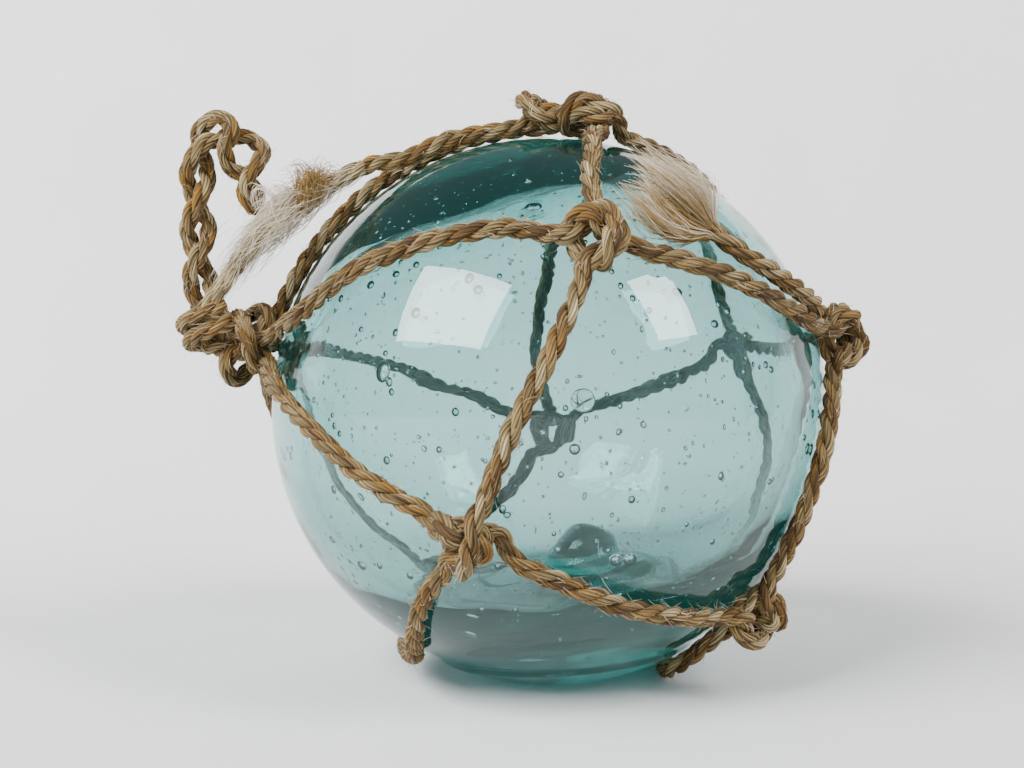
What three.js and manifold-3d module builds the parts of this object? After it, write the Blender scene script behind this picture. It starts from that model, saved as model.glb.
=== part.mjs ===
// A hand-blown glass fishing float, tied into its net of twisted twine.
// Lengths are millimetres and Z is up. The origin is on the flat spot that the float
// stands on, under the middle of the ball. The hanging loop is at -X, and the side
// that is seen first faces -Y.

import * as THREE from 'three';
import { mergeVertices } from 'three/addons/utils/BufferGeometryUtils.js';
import Module from 'manifold-3d';

const wasm = await Module();
wasm.setup();

// The glass ball and the button of glass that seals its blowing hole
const BALL_WIDTH = 85;
const BALL_HEIGHT = 83;
const SEAL_DIAMETER = 39;
const SEAL_STEP = 0.7;
const SEAL_CROWN = 4;
const SEAL_TILT = 4.5;
const FLAT_DEPTH = 0.4;

// The twine, and the room that it keeps from the glass and from its own loose ends
const TWINE_DIAMETER = 2.6;
const SEAT_GAP = 0.3;
const JOIN_OVERLAP = 0.5;
const END_GAP = 0.3;

// The lashing that gathers the net beside the ball and holds the hanging loop
const LASHING_OUT = 7.8;
const LASHING_UP = 2.8;
const LASHING_TURNS = 1.75;
const LASHING_LEAN = 18;
const LASHING_RADIUS = 1.55 * TWINE_DIAMETER;
const LASHING_TOP = 1.4 * TWINE_DIAMETER;

// The hanging loop, whose two legs are twisted round each other
const LOOP_TWIST_LENGTH = 16;
const LOOP_STRAIGHT = 2.5;
const LOOP_OPENING = 2.7;
const LOOP_BEND = 1.1 * TWINE_DIAMETER;
const OPENING_STARTS = [0.72, 0.8];
const OPENING_ENDS = [0.88, 0.96];

// The frayed places: a swelling on the pale stretch, and the tassel on the loose end
const FRAY_START = 3.5;
const FRAY_LENGTH = 10;
const FRAY_WIDTH = 5.6;
const FRAY_WIDEST = 0.45;
const TASSEL_LENGTH = 13;
const TASSEL_WIDTH = 9.5;

// How finely the faces follow the curves
const BALL_SIDES = 32;
const BALL_BANDS = 16;
const FACE_BANDS = 4;
const NET_SIDES = 5;
const CORD_SIDES = 8;
const RUN_STEP = 8;
const LAY_STEP = 5;
const KNOT_STEP = 2.8;
const LOOP_STEP = 3.6;
const LOOP_SKIN_STEP = 2.8;
const SAME_CORNER = 1e-4;

// Knots of the net, each at an azimuth and an elevation on the ball in degrees, with the
// azimuth counted from -Y towards +X. The four ends run anticlockwise as seen from
// outside: the first two are one length of twine, and the last two are another.
const KNOTS = {
  brow: { at: [8, 29], ends: ['right', 'crown', 'collar', 'front'] },
  front: { at: [-15, -20], ends: ['foot_right', 'brow', 'collar', 'foot_left'] },
  right: { at: [74, 14], ends: ['back_right', 'tail', 'brow', 'foot_right'] },
  foot_right: { at: [57, -41], ends: ['foot_left', 'back_right', 'right', 'front'] },
  foot_left: { at: [-135, -50], ends: ['front', 'collar', 'back', 'foot_right'] },
  crown: { at: [30, 74], ends: ['brow', 'back_right', 'back', 'collar'] },
  back: { at: [178, -7], ends: ['collar', 'crown', 'back_right', 'foot_left'] },
  back_right: { at: [123, 14], ends: ['back', 'crown', 'right', 'foot_right'] },
};
const COLLAR_AT = [-78, 12];

// Twine that lies on the ball from one knot to the next, with the directions it passes
const RUNS = [
  ['collar', 'brow', [[-56, 18], [-43, 25], [-31, 29], [-20, 31.5], [-10, 32.5]]],
  ['crown', 'brow', [[14, 57], [9, 46]]],
  ['brow', 'front', [[-1, 10], [-7, -2]]],
  ['brow', 'right', [[22, 27], [34, 24], [46, 20], [58, 16.5]]],
  ['collar', 'front', [[-61, 4], [-47, -3], [-35, -10.5]]],
  ['front', 'foot_right', [[1, -29], [18, -36], [36, -39.5]]],
  ['front', 'foot_left', [[-28, -34], [-38, -45], [-52, -55], [-78, -59], [-107, -57]]],
  ['right', 'foot_right', [[62, -3], [57, -18]]],
  ['foot_right', 'foot_left',
    [[59, -54], [59, -60.5], [68, -64.3], [88, -65], [115, -65], [145, -64], [172, -61], [-159, -56]]],
  ['collar', 'crown', [[-82, 30], [-81, 46], [-78, 59], [-70, 70], [-40, 77]]],
  ['crown', 'back_right', [[78, 64], [100, 50], [116, 34]]],
  ['crown', 'back', [[160, 68], [174, 52], [179, 34], [-179, 14]]],
  ['collar', 'back', [[-101, 14], [-122, 12], [-143, 8], [-163, 2]]],
  ['back', 'back_right', [[160, 1], [141, 7]]],
  ['back', 'foot_left', [[-174, -20], [-165, -29], [-153, -39]]],
  ['back_right', 'foot_right', [[110, -5], [104, -16], [98, -29], [83, -39]]],
  ['back_right', 'right', [[99, 13.5]]],
  ['collar', 'foot_left', [[-96, 0], [-108, -12], [-114, -26], [-122, -37]]],
];

// A second length of twine lies beside the net from the crown and leaves the ball
const CROWN_TIE = [[30, 76], [-4, 77], [-24, 76], [-46, 71], [-59, 65], [-66, 57.5], [-70, 51]];
const TIE_LIFTS = [0.9, 0.9, 0.15, 0.19, 0.33, 0.4, 1.18];
const TIE_SAG = [-1.6, -1.2, 1.8];
const TIE_END = [-0.1, 0.95, 0.9];
// The frayed tail lies on the ball above the twine from the right knot to the brow
const TAIL = [[62, 19.8], [55, 22], [47, 25], [41, 27.6], [36.5, 30.3], [33, 33]];
const TAIL_LIFT = 0.25;
const TAIL_GAP = 1.3;
const TASSEL_TIP = [14, 42];
const TASSEL_LIFT = 0.5;
// Outline of the tassel: shares of its width and of its length
const TASSEL_OUTLINE = [[0.36, 0.35], [0.5, 0.75], [0.3, 1]];

// Shape of a net knot, in twine diameters: along the ball, across it, and off it.
// The bight is one length of twine folded back, and the hitch goes through and round it.
// Each end goes on to KNOT_REACH diameters from the middle, towards its neighbour.
const KNOT_REACH = 2.5;
const KNOT_CORE = 0.8;
const KNOT_CORE_LIFT = 0.8;
const BIGHT = [
  [-1.2, 0.75, 0.6], [0, 0.85, 0.9], [0.8, 0.5, 0.9], [0.8, -0.5, 0.9], [0, -0.85, 0.9], [-1.2, -0.75, 0.6],
];
const HITCH_RISE = [
  [1.3, -0.2, 0.05], [0.4, 0.1, 0.5], [-0.2, 0.7, 1.7], [-0.75, 1.3, 0.9], [-0.85, 1.1, 0.3],
];
const HITCH_RETURN = [
  [-0.85, -1.1, 0.3], [-0.7, -1.3, 0.9], [-0.1, -0.75, 1.7], [0.45, 0.1, 1.5], [0.8, 0.9, 1.2],
];

// The collar knot: a trefoil whose lobes swing out and rise off the ball, and its packed middle
const COLLAR_LOBES = 3;
const COLLAR_POINTS = 30;
const COLLAR_REACH = 1.35;
const COLLAR_SWING = 0.75;
const COLLAR_LIFT = 1.3;
const COLLAR_RISE = 0.8;
const COLLAR_CORE = 1.6;
const COLLAR_CORE_LIFT = 1.7;
// Twine that climbs into the collar, as shares of its way out and its lift
const COLLAR_CLIMB = [[0.35, 1.7], [1.1, 0.5], [2.3, 0]];
// The legs of the loop where they leave the collar: along, across and off the ball
const LEG_ROOTS = [[0.2, 0.5, 1.2], [0.3, 0.5, 2.6]];

// The small overhand turn beside the crown knot, where the second length of twine starts
const TURN_AT = [-2, 79];
const TURN_POINTS = 12;
const TURN_HALF_WIDTH = 0.9;
const TURN_HALF_LENGTH = 1.5;
const TURN_ASIDE = -0.4;
const TURN_LIFT = 1;
const TURN_RISE = 0.75;
const TURN_PHASE = 1;

// How far past the rim of the seal the glass swells to meet it, in degrees
const SEAL_FADE = 8;

// Middle of the doubled twine of the hanging loop, from the top of the lashing: out along X,
// out along Y, and up
const LOOP_ROUTE = [
  [0, 0, 0], [-0.93, 0, 2.85], [-1.2, 0.1, 5.6], [-1.4, 0.3, 10.5], [-1.5, 0.3, 16.8], [-1.3, 0.1, 21.6],
  [-0.4, -0.2, 24.7], [2.4, -0.4, 26], [4.7, -0.6, 25], [5.8, -0.8, 21.6], [6.4, -1, 18.6],
  [6.8, -1.2, 16.4],
];

const rad = THREE.MathUtils.degToRad;
const ballSide = BALL_WIDTH / 2;
const ballUp = BALL_HEIGHT / 2;
const sealReach = SEAL_DIAMETER / 2;
const sealRimDepth = ballUp * Math.sqrt(1 - (sealReach / ballSide) ** 2) + SEAL_STEP;
const sealFaceRadius = (sealReach ** 2 + SEAL_CROWN ** 2) / (2 * SEAL_CROWN);
const sealAxis = new THREE.Vector3(Math.sin(rad(SEAL_TILT)), 0, -Math.cos(rad(SEAL_TILT)));
const sealFaceCentre = sealAxis.clone().multiplyScalar(sealRimDepth + SEAL_CROWN - sealFaceRadius);
const sealRimAngle = Math.atan2(sealReach, sealRimDepth);
const centreHeight = sealFaceRadius - sealFaceCentre.z - FLAT_DEPTH;
const ballCentre = new THREE.Vector3(0, 0, centreHeight);
const seatHeight = SEAT_GAP + TWINE_DIAMETER / 2;

/** Unit vector at an azimuth and an elevation in degrees, seen from the ball's middle. */
function direction([azimuth, elevation]) {
  const level = Math.cos(rad(elevation));
  return new THREE.Vector3(
    Math.sin(rad(azimuth)) * level, -Math.cos(rad(azimuth)) * level, Math.sin(rad(elevation)));
}

/** Distance from the ball's middle to the outside of the glass along a unit vector. */
function glassReach(way) {
  const plain = 1 / Math.sqrt(
    (way.x ** 2 + way.y ** 2) / ballSide ** 2 + way.z ** 2 / ballUp ** 2);
  const fade = rad(SEAL_FADE);
  const angle = Math.acos(THREE.MathUtils.clamp(way.dot(sealAxis), -1, 1));
  if (angle > sealRimAngle + fade) return plain;
  const along = way.dot(sealFaceCentre);
  const face = along + Math.sqrt(along ** 2 - sealFaceCentre.lengthSq() + sealFaceRadius ** 2);
  const share = THREE.MathUtils.clamp((sealRimAngle + fade - angle) / fade, 0, 1);
  return Math.max(plain, THREE.MathUtils.lerp(plain, Math.hypot(sealReach, sealRimDepth), share),
    angle < sealRimAngle ? face : 0);
}

/** Middle of twine that lies on the glass along a unit vector, lifted by some more. */
function seat(way, lift = 0) {
  const reach = glassReach(way) + seatHeight + lift;
  return way.clone().multiplyScalar(reach).add(ballCentre);
}

/** Points that follow the glass closely from one given point to the next. */
function lay(points) {
  const ways = points.map((point) => point.clone().sub(ballCentre));
  const lifts = ways.map((way) => {
    const reach = glassReach(way.clone().normalize());
    return Math.max(0, way.length() - seatHeight - reach);
  });
  const route = new THREE.CatmullRomCurve3(
    ways.map((way) => way.clone().setLength(ballSide)), false, 'centripetal');
  const spans = points.length - 1;
  const laid = [];
  for (let i = 0; i < spans; i += 1) {
    const parts = Math.max(1, Math.ceil(points[i].distanceTo(points[i + 1]) / LAY_STEP));
    for (let j = 0; j < parts; j += 1) {
      const share = j / parts;
      const way = route.getPoint((i + share) / spans).normalize();
      laid.push(seat(way, THREE.MathUtils.lerp(lifts[i], lifts[i + 1], share)));
    }
  }
  laid.push(points[spans]);
  return laid;
}

/** Solid with merged corners and no collapsed faces, ready for cutting and joining. */
function solid(geometry) {
  const bare = geometry.clone();
  bare.deleteAttribute('normal');
  bare.deleteAttribute('uv');
  const merged = mergeVertices(bare, SAME_CORNER);
  const faces = [];
  const index = merged.index.array;
  for (let i = 0; i < index.length; i += 3) {
    const [a, b, c] = [index[i], index[i + 1], index[i + 2]];
    if (a !== b && b !== c && c !== a) faces.push(a, b, c);
  }
  return new wasm.Manifold(new wasm.Mesh({
    numProp: 3,
    vertProperties: new Float32Array(merged.attributes.position.array),
    triVerts: new Uint32Array(faces),
  }));
}

/** Plain geometry of a joined or cut solid. */
function geometryOf(body) {
  const mesh = body.getMesh();
  const geometry = new THREE.BufferGeometry();
  geometry.setAttribute('position', new THREE.BufferAttribute(new Float32Array(mesh.vertProperties), 3));
  geometry.setIndex(new THREE.BufferAttribute(new Uint32Array(mesh.triVerts), 1));
  geometry.computeVertexNormals();
  return geometry;
}

/** Geometry of round twine along a list of points. */
function twineGeometry(points, step, sides) {
  const route = new THREE.CatmullRomCurve3(points, false, 'centripetal');
  const section = new THREE.Shape();
  for (let i = 0; i < sides; i += 1) {
    const turn = (2 * Math.PI * i) / sides;
    const x = (TWINE_DIAMETER / 2) * Math.cos(turn);
    const y = (TWINE_DIAMETER / 2) * Math.sin(turn);
    if (i === 0) section.moveTo(x, y);
    else section.lineTo(x, y);
  }
  section.closePath();
  return new THREE.ExtrudeGeometry(section, {
    steps: Math.max(2, Math.round(route.getLength() / step)),
    extrudePath: route,
    bevelEnabled: false,
  });
}

/** Solid of round net twine along a list of points. */
function twine(points, step) {
  return solid(twineGeometry(points, step, NET_SIDES));
}

/** One solid of several that overlap, with the pinholes between them closed. */
function fuse(bodies) {
  const whole = bodies.reduce((joined, body) => joined.add(body));
  const shells = whole.decompose().filter((shell) => shell.volume() > 0);
  return shells.reduce((joined, shell) => joined.add(shell));
}

/** Spindle or flare round an axis, from a profile of radius and height, laid along a way. */
function turnedPiece(profile, foot, way, sides) {
  const geometry = new THREE.LatheGeometry(profile.map(([r, h]) => new THREE.Vector2(r, h)), sides);
  const turn = new THREE.Quaternion().setFromUnitVectors(new THREE.Vector3(0, 1, 0), way);
  geometry.applyQuaternion(turn);
  geometry.translate(foot.x, foot.y, foot.z);
  return geometry;
}

/** The ball with its seal, standing on the flat spot. */
function glassBall() {
  const arc = [];
  for (let i = 0; i <= BALL_BANDS; i += 1) {
    const polar = (Math.PI * i) / BALL_BANDS;
    const reach = i % BALL_BANDS === 0 ? 0 : ballSide * Math.sin(polar);
    arc.push(new THREE.Vector2(reach, -ballUp * Math.cos(polar)));
  }
  const ball = new THREE.LatheGeometry(arc, BALL_SIDES);
  ball.rotateX(Math.PI / 2);

  const faceAngle = Math.asin(sealReach / sealFaceRadius);
  const profile = [[0, 0]];
  profile.push([sealReach - SEAL_STEP, 0]);
  for (let i = 0; i <= FACE_BANDS; i += 1) {
    const angle = faceAngle * (1 - i / FACE_BANDS);
    const height = sealRimDepth + SEAL_CROWN - sealFaceRadius * (1 - Math.cos(angle));
    profile.push([i === FACE_BANDS ? 0 : sealFaceRadius * Math.sin(angle), height]);
  }
  const seal = turnedPiece(profile, new THREE.Vector3(), sealAxis, BALL_SIDES);

  const floor = new THREE.BoxGeometry(BALL_WIDTH, BALL_WIDTH, BALL_WIDTH);
  floor.translate(0, 0, -centreHeight - BALL_WIDTH / 2);
  const body = solid(ball).add(solid(seal)).subtract(solid(floor));
  const geometry = geometryOf(body);
  geometry.translate(ballCentre.x, ballCentre.y, ballCentre.z);
  return geometry;
}

/** Direction that a length of twine takes as it leaves a knot for another. */
function leavingWay(name, neighbour) {
  if (neighbour === 'tail') return direction(TAIL[0]);
  const run = RUNS.find(([a, b]) => (a === name && b === neighbour) || (a === neighbour && b === name));
  const passes = run[2];
  return direction(run[0] === name ? passes[0] : passes[passes.length - 1]);
}

/** Axes of a knot on the ball: outwards, along and across, from where its ends leave. */
function knotAxes(name) {
  const out = direction(KNOTS[name].at);
  const [third, fourth] = KNOTS[name].ends.slice(2).map((end) => (
    leavingWay(name, end).projectOnPlane(out).normalize()));
  const along = third.clone().add(fourth).normalize().negate();
  const across = out.clone().cross(along).normalize();
  return { out, along, across };
}

/** Point of a knot, given in twine diameters along, across and off the ball. */
function knotPoint({ out, along, across }, [x, y, w]) {
  const spread = TWINE_DIAMETER / (ballSide + seatHeight);
  const way = out.clone().addScaledVector(along, x * spread).addScaledVector(across, y * spread);
  way.normalize();
  return seat(way, w * TWINE_DIAMETER);
}

/** Packed middle of a knot, where no daylight shows between the turns. */
function core(axes, lift, radius) {
  const lump = new THREE.IcosahedronGeometry(radius * TWINE_DIAMETER, 0);
  const middle = knotPoint(axes, [0, 0, lift]);
  lump.translate(middle.x, middle.y, middle.z);
  return solid(lump);
}

/** Where an end of a knot leaves for a neighbour, on the glass. */
function knotTip(name, neighbour) {
  const axes = knotAxes(name);
  const way = leavingWay(name, neighbour).projectOnPlane(axes.out).setLength(KNOT_REACH);
  return knotPoint(axes, [way.dot(axes.along), way.dot(axes.across), 0]);
}

/** Solids of one net knot. */
function knot(name) {
  const axes = knotAxes(name);
  const [rise, back, first, last] = KNOTS[name].ends.map((end) => knotTip(name, end));
  const placed = (strand) => strand.map((point) => knotPoint(axes, point));
  return [
    twine([first, ...placed(BIGHT), last], KNOT_STEP),
    twine([rise, ...placed(HITCH_RISE)], KNOT_STEP),
    twine([...placed(HITCH_RETURN), back], KNOT_STEP),
    core(axes, KNOT_CORE_LIFT, KNOT_CORE),
  ];
}

/** Where the twine between two knots starts, a little inside the knot's own end. */
function knotExit(name, neighbour) {
  const tip = knotTip(name, neighbour);
  const middle = knotPoint(knotAxes(name), [0, 0, 0]);
  return tip.lerp(middle, JOIN_OVERLAP / tip.distanceTo(middle));
}

const collarOut = direction(COLLAR_AT);
const collarAcross = new THREE.Vector3(0, 0, 1).projectOnPlane(collarOut).normalize();
const collarAlong = collarAcross.clone().cross(collarOut);
const collarAxes = { out: collarOut, along: collarAlong, across: collarAcross };

/** Points where the twine from a neighbour climbs into the collar. */
function collarExit(neighbour) {
  const run = RUNS.find(([a, b]) => a === 'collar' && b === neighbour);
  const way = direction(run[2][0]).projectOnPlane(collarOut).normalize();
  const x = way.dot(collarAlong);
  const y = way.dot(collarAcross);
  return COLLAR_CLIMB.map(([share, lift]) => knotPoint(collarAxes, [x * share, y * share, lift]));
}

/** Twine on the ball between two knots. */
function run([from, to, passes]) {
  const start = from === 'collar' ? collarExit(to) : [knotExit(from, to)];
  const end = [knotExit(to, from)];
  return twine(lay([...start, ...passes.map((pass) => seat(direction(pass))), ...end]), RUN_STEP);
}

const lashingCentre = seat(collarOut).addScaledVector(
  new THREE.Vector3(collarOut.x, collarOut.y, 0).normalize(), LASHING_OUT);
lashingCentre.z += LASHING_UP;
const lashingAxis = new THREE.Vector3(-Math.sin(rad(LASHING_LEAN)), 0, Math.cos(rad(LASHING_LEAN)));
const lashingSide = new THREE.Vector3(Math.cos(rad(LASHING_LEAN)), 0, Math.sin(rad(LASHING_LEAN)));
const lashingBack = lashingAxis.clone().cross(lashingSide);
const lashingTop = lashingCentre.clone().addScaledVector(lashingAxis, LASHING_TOP);
const legSpread = (TWINE_DIAMETER + END_GAP) / 2;

/** Three-lobed knot that gathers the net at the collar. */
function collarKnot() {
  const halves = [[], []];
  for (let i = 0; i <= COLLAR_POINTS; i += 1) {
    const turn = (2 * Math.PI * i) / COLLAR_POINTS;
    const reach = COLLAR_REACH + COLLAR_SWING * Math.cos(COLLAR_LOBES * turn);
    const lift = COLLAR_LIFT + COLLAR_RISE * Math.sin(COLLAR_LOBES * turn);
    const point = knotPoint(collarAxes, [reach * Math.cos(2 * turn), reach * Math.sin(2 * turn), lift]);
    if (i <= COLLAR_POINTS / 2 + 1) halves[0].push(point);
    if (i >= COLLAR_POINTS / 2) halves[1].push(point);
  }
  return [...halves.map((half) => twine(half, KNOT_STEP)), core(collarAxes, COLLAR_CORE_LIFT, COLLAR_CORE)];
}

/** Turns of twine round the legs of the hanging loop. */
function lashing() {
  const pointsPerTurn = 10;
  const count = Math.round(LASHING_TURNS * pointsPerTurn);
  const points = [];
  for (let i = 0; i <= count; i += 1) {
    const turn = (2 * Math.PI * i) / pointsPerTurn;
    const height = TWINE_DIAMETER * (i / pointsPerTurn - LASHING_TURNS / 2);
    points.push(lashingCentre.clone()
      .addScaledVector(lashingSide, LASHING_RADIUS * Math.cos(turn))
      .addScaledVector(lashingBack, LASHING_RADIUS * Math.sin(turn))
      .addScaledVector(lashingAxis, height));
  }
  return twine(points, KNOT_STEP);
}

/** The two legs that go from the collar through the lashing, up to where the loop starts. */
function legs() {
  return [-1, 1].map((side) => {
    const middle = lashingCentre.clone().addScaledVector(lashingSide, side * legSpread);
    return twine([
      ...LEG_ROOTS.map(([x, y, w]) => knotPoint(collarAxes, [x, side * y, w])),
      middle.clone().addScaledVector(lashingAxis, -TWINE_DIAMETER),
      middle,
      lashingTop.clone().addScaledVector(lashingSide, side * legSpread),
    ], KNOT_STEP);
  });
}

/** The second length of twine from the crown, which leaves the ball for the lashing. */
function crownTie() {
  const onBall = CROWN_TIE.map((pass, i) => seat(direction(pass), TWINE_DIAMETER * TIE_LIFTS[i]));
  const end = lashingCentre.clone().addScaledVector(lashingSide, LASHING_RADIUS * TIE_END[0])
    .addScaledVector(lashingBack, -LASHING_RADIUS * TIE_END[1])
    .addScaledVector(lashingAxis, TWINE_DIAMETER * TIE_END[2]);
  const leave = onBall[onBall.length - 1];
  const span = end.clone().sub(leave);
  const middle = leave.clone().addScaledVector(span, 0.5).add(new THREE.Vector3(...TIE_SAG));
  const frayFoot = leave.clone().addScaledVector(span.clone().normalize(), FRAY_START);
  const frayWay = middle.clone().sub(leave).normalize();
  const swelling = [
    [0, 0], [TWINE_DIAMETER / 2, 0], [FRAY_WIDTH / 2, FRAY_LENGTH * FRAY_WIDEST],
    [TWINE_DIAMETER / 2, FRAY_LENGTH], [0, FRAY_LENGTH],
  ];
  const fray = turnedPiece(swelling, frayFoot, frayWay, CORD_SIDES);
  return [twine([...lay(onBall), middle, end], RUN_STEP), solid(fray)];
}

/** Small overhand turn beside the crown knot, where the second length starts. */
function crownTurn() {
  const way = direction(TURN_AT);
  const along = new THREE.Vector3(1, 0, 0).projectOnPlane(way).normalize();
  const axes = { out: way, along, across: way.clone().cross(along) };
  const ring = [];
  for (let i = 0; i < TURN_POINTS; i += 1) {
    const turn = (2 * Math.PI * i) / TURN_POINTS;
    ring.push(knotPoint(axes, [
      TURN_ASIDE + TURN_HALF_WIDTH * Math.sin(turn),
      TURN_HALF_LENGTH * Math.cos(turn),
      TURN_LIFT + TURN_RISE * Math.cos(turn + TURN_PHASE),
    ]));
  }
  return twine(ring, KNOT_STEP);
}

/** The whole net with its collar and lashing, as one solid. */
function net() {
  const bodies = Object.keys(KNOTS).flatMap(knot);
  bodies.push(...RUNS.map(run), ...collarKnot(), lashing(), ...legs(), ...crownTie(), crownTurn());
  return geometryOf(fuse(bodies));
}

/** The hanging loop: up one leg, round the bight and back down the other. */
function hangingLoop() {
  const foot = lashingTop.clone().addScaledVector(lashingAxis, END_GAP);
  const route = new THREE.CatmullRomCurve3(
    LOOP_ROUTE.map(([x, y, z]) => new THREE.Vector3(x, y, z).add(foot)), false, 'centripetal');
  const length = route.getLength();
  const count = Math.round(length / LOOP_STEP);
  const leg = (side) => {
    const points = [];
    for (let i = 0; i <= count; i += 1) {
      const share = i / count;
      const way = route.getTangentAt(share);
      const back = new THREE.Vector3(0, 1, 0).projectOnPlane(way).normalize();
      const aside = back.clone().cross(way).normalize();
      const open = THREE.MathUtils.smoothstep(share, ...OPENING_STARTS)
        * (1 - THREE.MathUtils.smoothstep(share, ...OPENING_ENDS));
      const spread = THREE.MathUtils.lerp(legSpread, LOOP_OPENING, open);
      const turn = (2 * Math.PI * Math.max(0, length * share - LOOP_STRAIGHT)) / LOOP_TWIST_LENGTH;
      points.push(route.getPointAt(share)
        .addScaledVector(aside, side * spread * Math.cos(turn))
        .addScaledVector(back, side * spread * Math.sin(turn)));
    }
    return points;
  };
  const up = leg(1);
  const down = leg(-1).reverse();
  const tip = route.getPointAt(1).addScaledVector(route.getTangentAt(1), LOOP_BEND);
  return twineGeometry([...up, tip, ...down], LOOP_SKIN_STEP, CORD_SIDES);
}

/** The loose end on the ball, from where the right knot lets it go to where it frays. */
function tailPoints() {
  const points = TAIL.map((pass) => seat(direction(pass), TWINE_DIAMETER * TAIL_LIFT));
  const tip = knotTip('right', 'tail');
  const start = tip.clone().addScaledVector(points[0].clone().sub(tip).normalize(), TAIL_GAP);
  return [start, ...points];
}

/** The brush of loose fibres at the end of the tail. */
function tassel() {
  const points = tailPoints();
  const root = points[points.length - 1];
  const tip = seat(direction(TASSEL_TIP), TASSEL_WIDTH * TASSEL_LIFT);
  const way = tip.clone().sub(root).normalize();
  const foot = root.clone().addScaledVector(way, END_GAP);
  const outline = TASSEL_OUTLINE.map(([wide, high]) => [TASSEL_WIDTH * wide, TASSEL_LENGTH * high]);
  const profile = [[0, 0], [TWINE_DIAMETER / 2, 0], ...outline, [0, TASSEL_LENGTH]];
  return turnedPiece(profile, foot, way, CORD_SIDES);
}

const glass = new THREE.MeshStandardMaterial({ color: 0xa9b9b5, roughness: 0.05, metalness: 0 });
const goldTwine = new THREE.MeshStandardMaterial({ color: 0x9c7440, roughness: 0.9, metalness: 0 });
const paleTwine = new THREE.MeshStandardMaterial({ color: 0xb8a98c, roughness: 0.95, metalness: 0 });

/** Named mesh of a piece. */
function piece(name, geometry, material) {
  const mesh = new THREE.Mesh(geometry, material);
  mesh.name = name;
  return mesh;
}

const float = new THREE.Group();
float.add(
  piece('glass_float', glassBall(), glass),
  piece('net', net(), goldTwine),
  piece('hanging_loop', hangingLoop(), goldTwine),
  piece('frayed_tail', twineGeometry(tailPoints(), LOOP_STEP, CORD_SIDES), goldTwine),
  piece('tail_tassel', tassel(), paleTwine),
);

export default float;
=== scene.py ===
"""A hand-blown glass fishing float in its net of twisted twine, on a pale studio sweep.

Everything is in metres, in the frame of the solids: the origin is on the flat spot that the
float stands on, Z is up, and the hanging loop is at -X. Values whose names end in _MM are
millimetres, as they stand in the part's source.
"""

from __future__ import annotations

import logging
import math
from collections.abc import Sequence
from dataclasses import dataclass, field
from enum import Enum

import bmesh
import bpy
import numpy as np
from mathutils import Matrix, Vector, noise

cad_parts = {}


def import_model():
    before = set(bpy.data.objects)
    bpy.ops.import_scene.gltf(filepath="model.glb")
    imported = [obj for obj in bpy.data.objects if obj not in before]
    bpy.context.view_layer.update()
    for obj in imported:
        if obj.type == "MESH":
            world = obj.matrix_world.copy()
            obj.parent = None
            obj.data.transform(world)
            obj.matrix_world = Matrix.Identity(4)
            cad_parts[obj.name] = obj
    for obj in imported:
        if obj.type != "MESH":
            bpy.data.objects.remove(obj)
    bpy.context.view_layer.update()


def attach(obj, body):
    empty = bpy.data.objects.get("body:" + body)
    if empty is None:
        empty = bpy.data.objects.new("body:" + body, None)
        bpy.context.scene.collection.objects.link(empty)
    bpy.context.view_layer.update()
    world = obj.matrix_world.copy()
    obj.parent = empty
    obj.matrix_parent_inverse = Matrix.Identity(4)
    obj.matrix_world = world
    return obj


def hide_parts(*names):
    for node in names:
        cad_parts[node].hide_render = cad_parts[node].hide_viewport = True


Colour = tuple[float, float, float]
Triple = tuple[float, float, float]
Pair = tuple[float, float]

# Azimuth from -Y towards +X and elevation, seen from the middle of the ball, in degrees
Place = tuple[float, float]

MM = 0.001
log = logging.getLogger("glass_float")

TWINE = 2.6 * MM
SEAT_GAP = 0.12 * MM
END_GAP = 0.3 * MM
FIBRE_GAP = 0.08 * MM
LINE_STEP = 0.4 * MM

# Knots of the net: azimuth from -Y towards +X and elevation on the ball, in degrees, and the
# four ends anticlockwise, of which the first two are one length and the last two another.
KNOTS: dict[str, tuple[Place, tuple[str, str, str, str]]] = {
    "brow": ((8, 29), ("right", "crown", "collar", "front")),
    "front": ((-15, -20), ("foot_right", "brow", "collar", "foot_left")),
    "right": ((74, 14), ("back_right", "tail", "brow", "foot_right")),
    "foot_right": ((57, -41), ("foot_left", "back_right", "right", "front")),
    "foot_left": ((-135, -50), ("front", "collar", "back", "foot_right")),
    "crown": ((30, 74), ("brow", "back_right", "back", "collar")),
    "back": ((178, -7), ("collar", "crown", "back_right", "foot_left")),
    "back_right": ((123, 14), ("back", "crown", "right", "foot_right")),
}
COLLAR_AT = (-78, 12)
CROWN_TURN_AT = (-2, 79)

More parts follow.
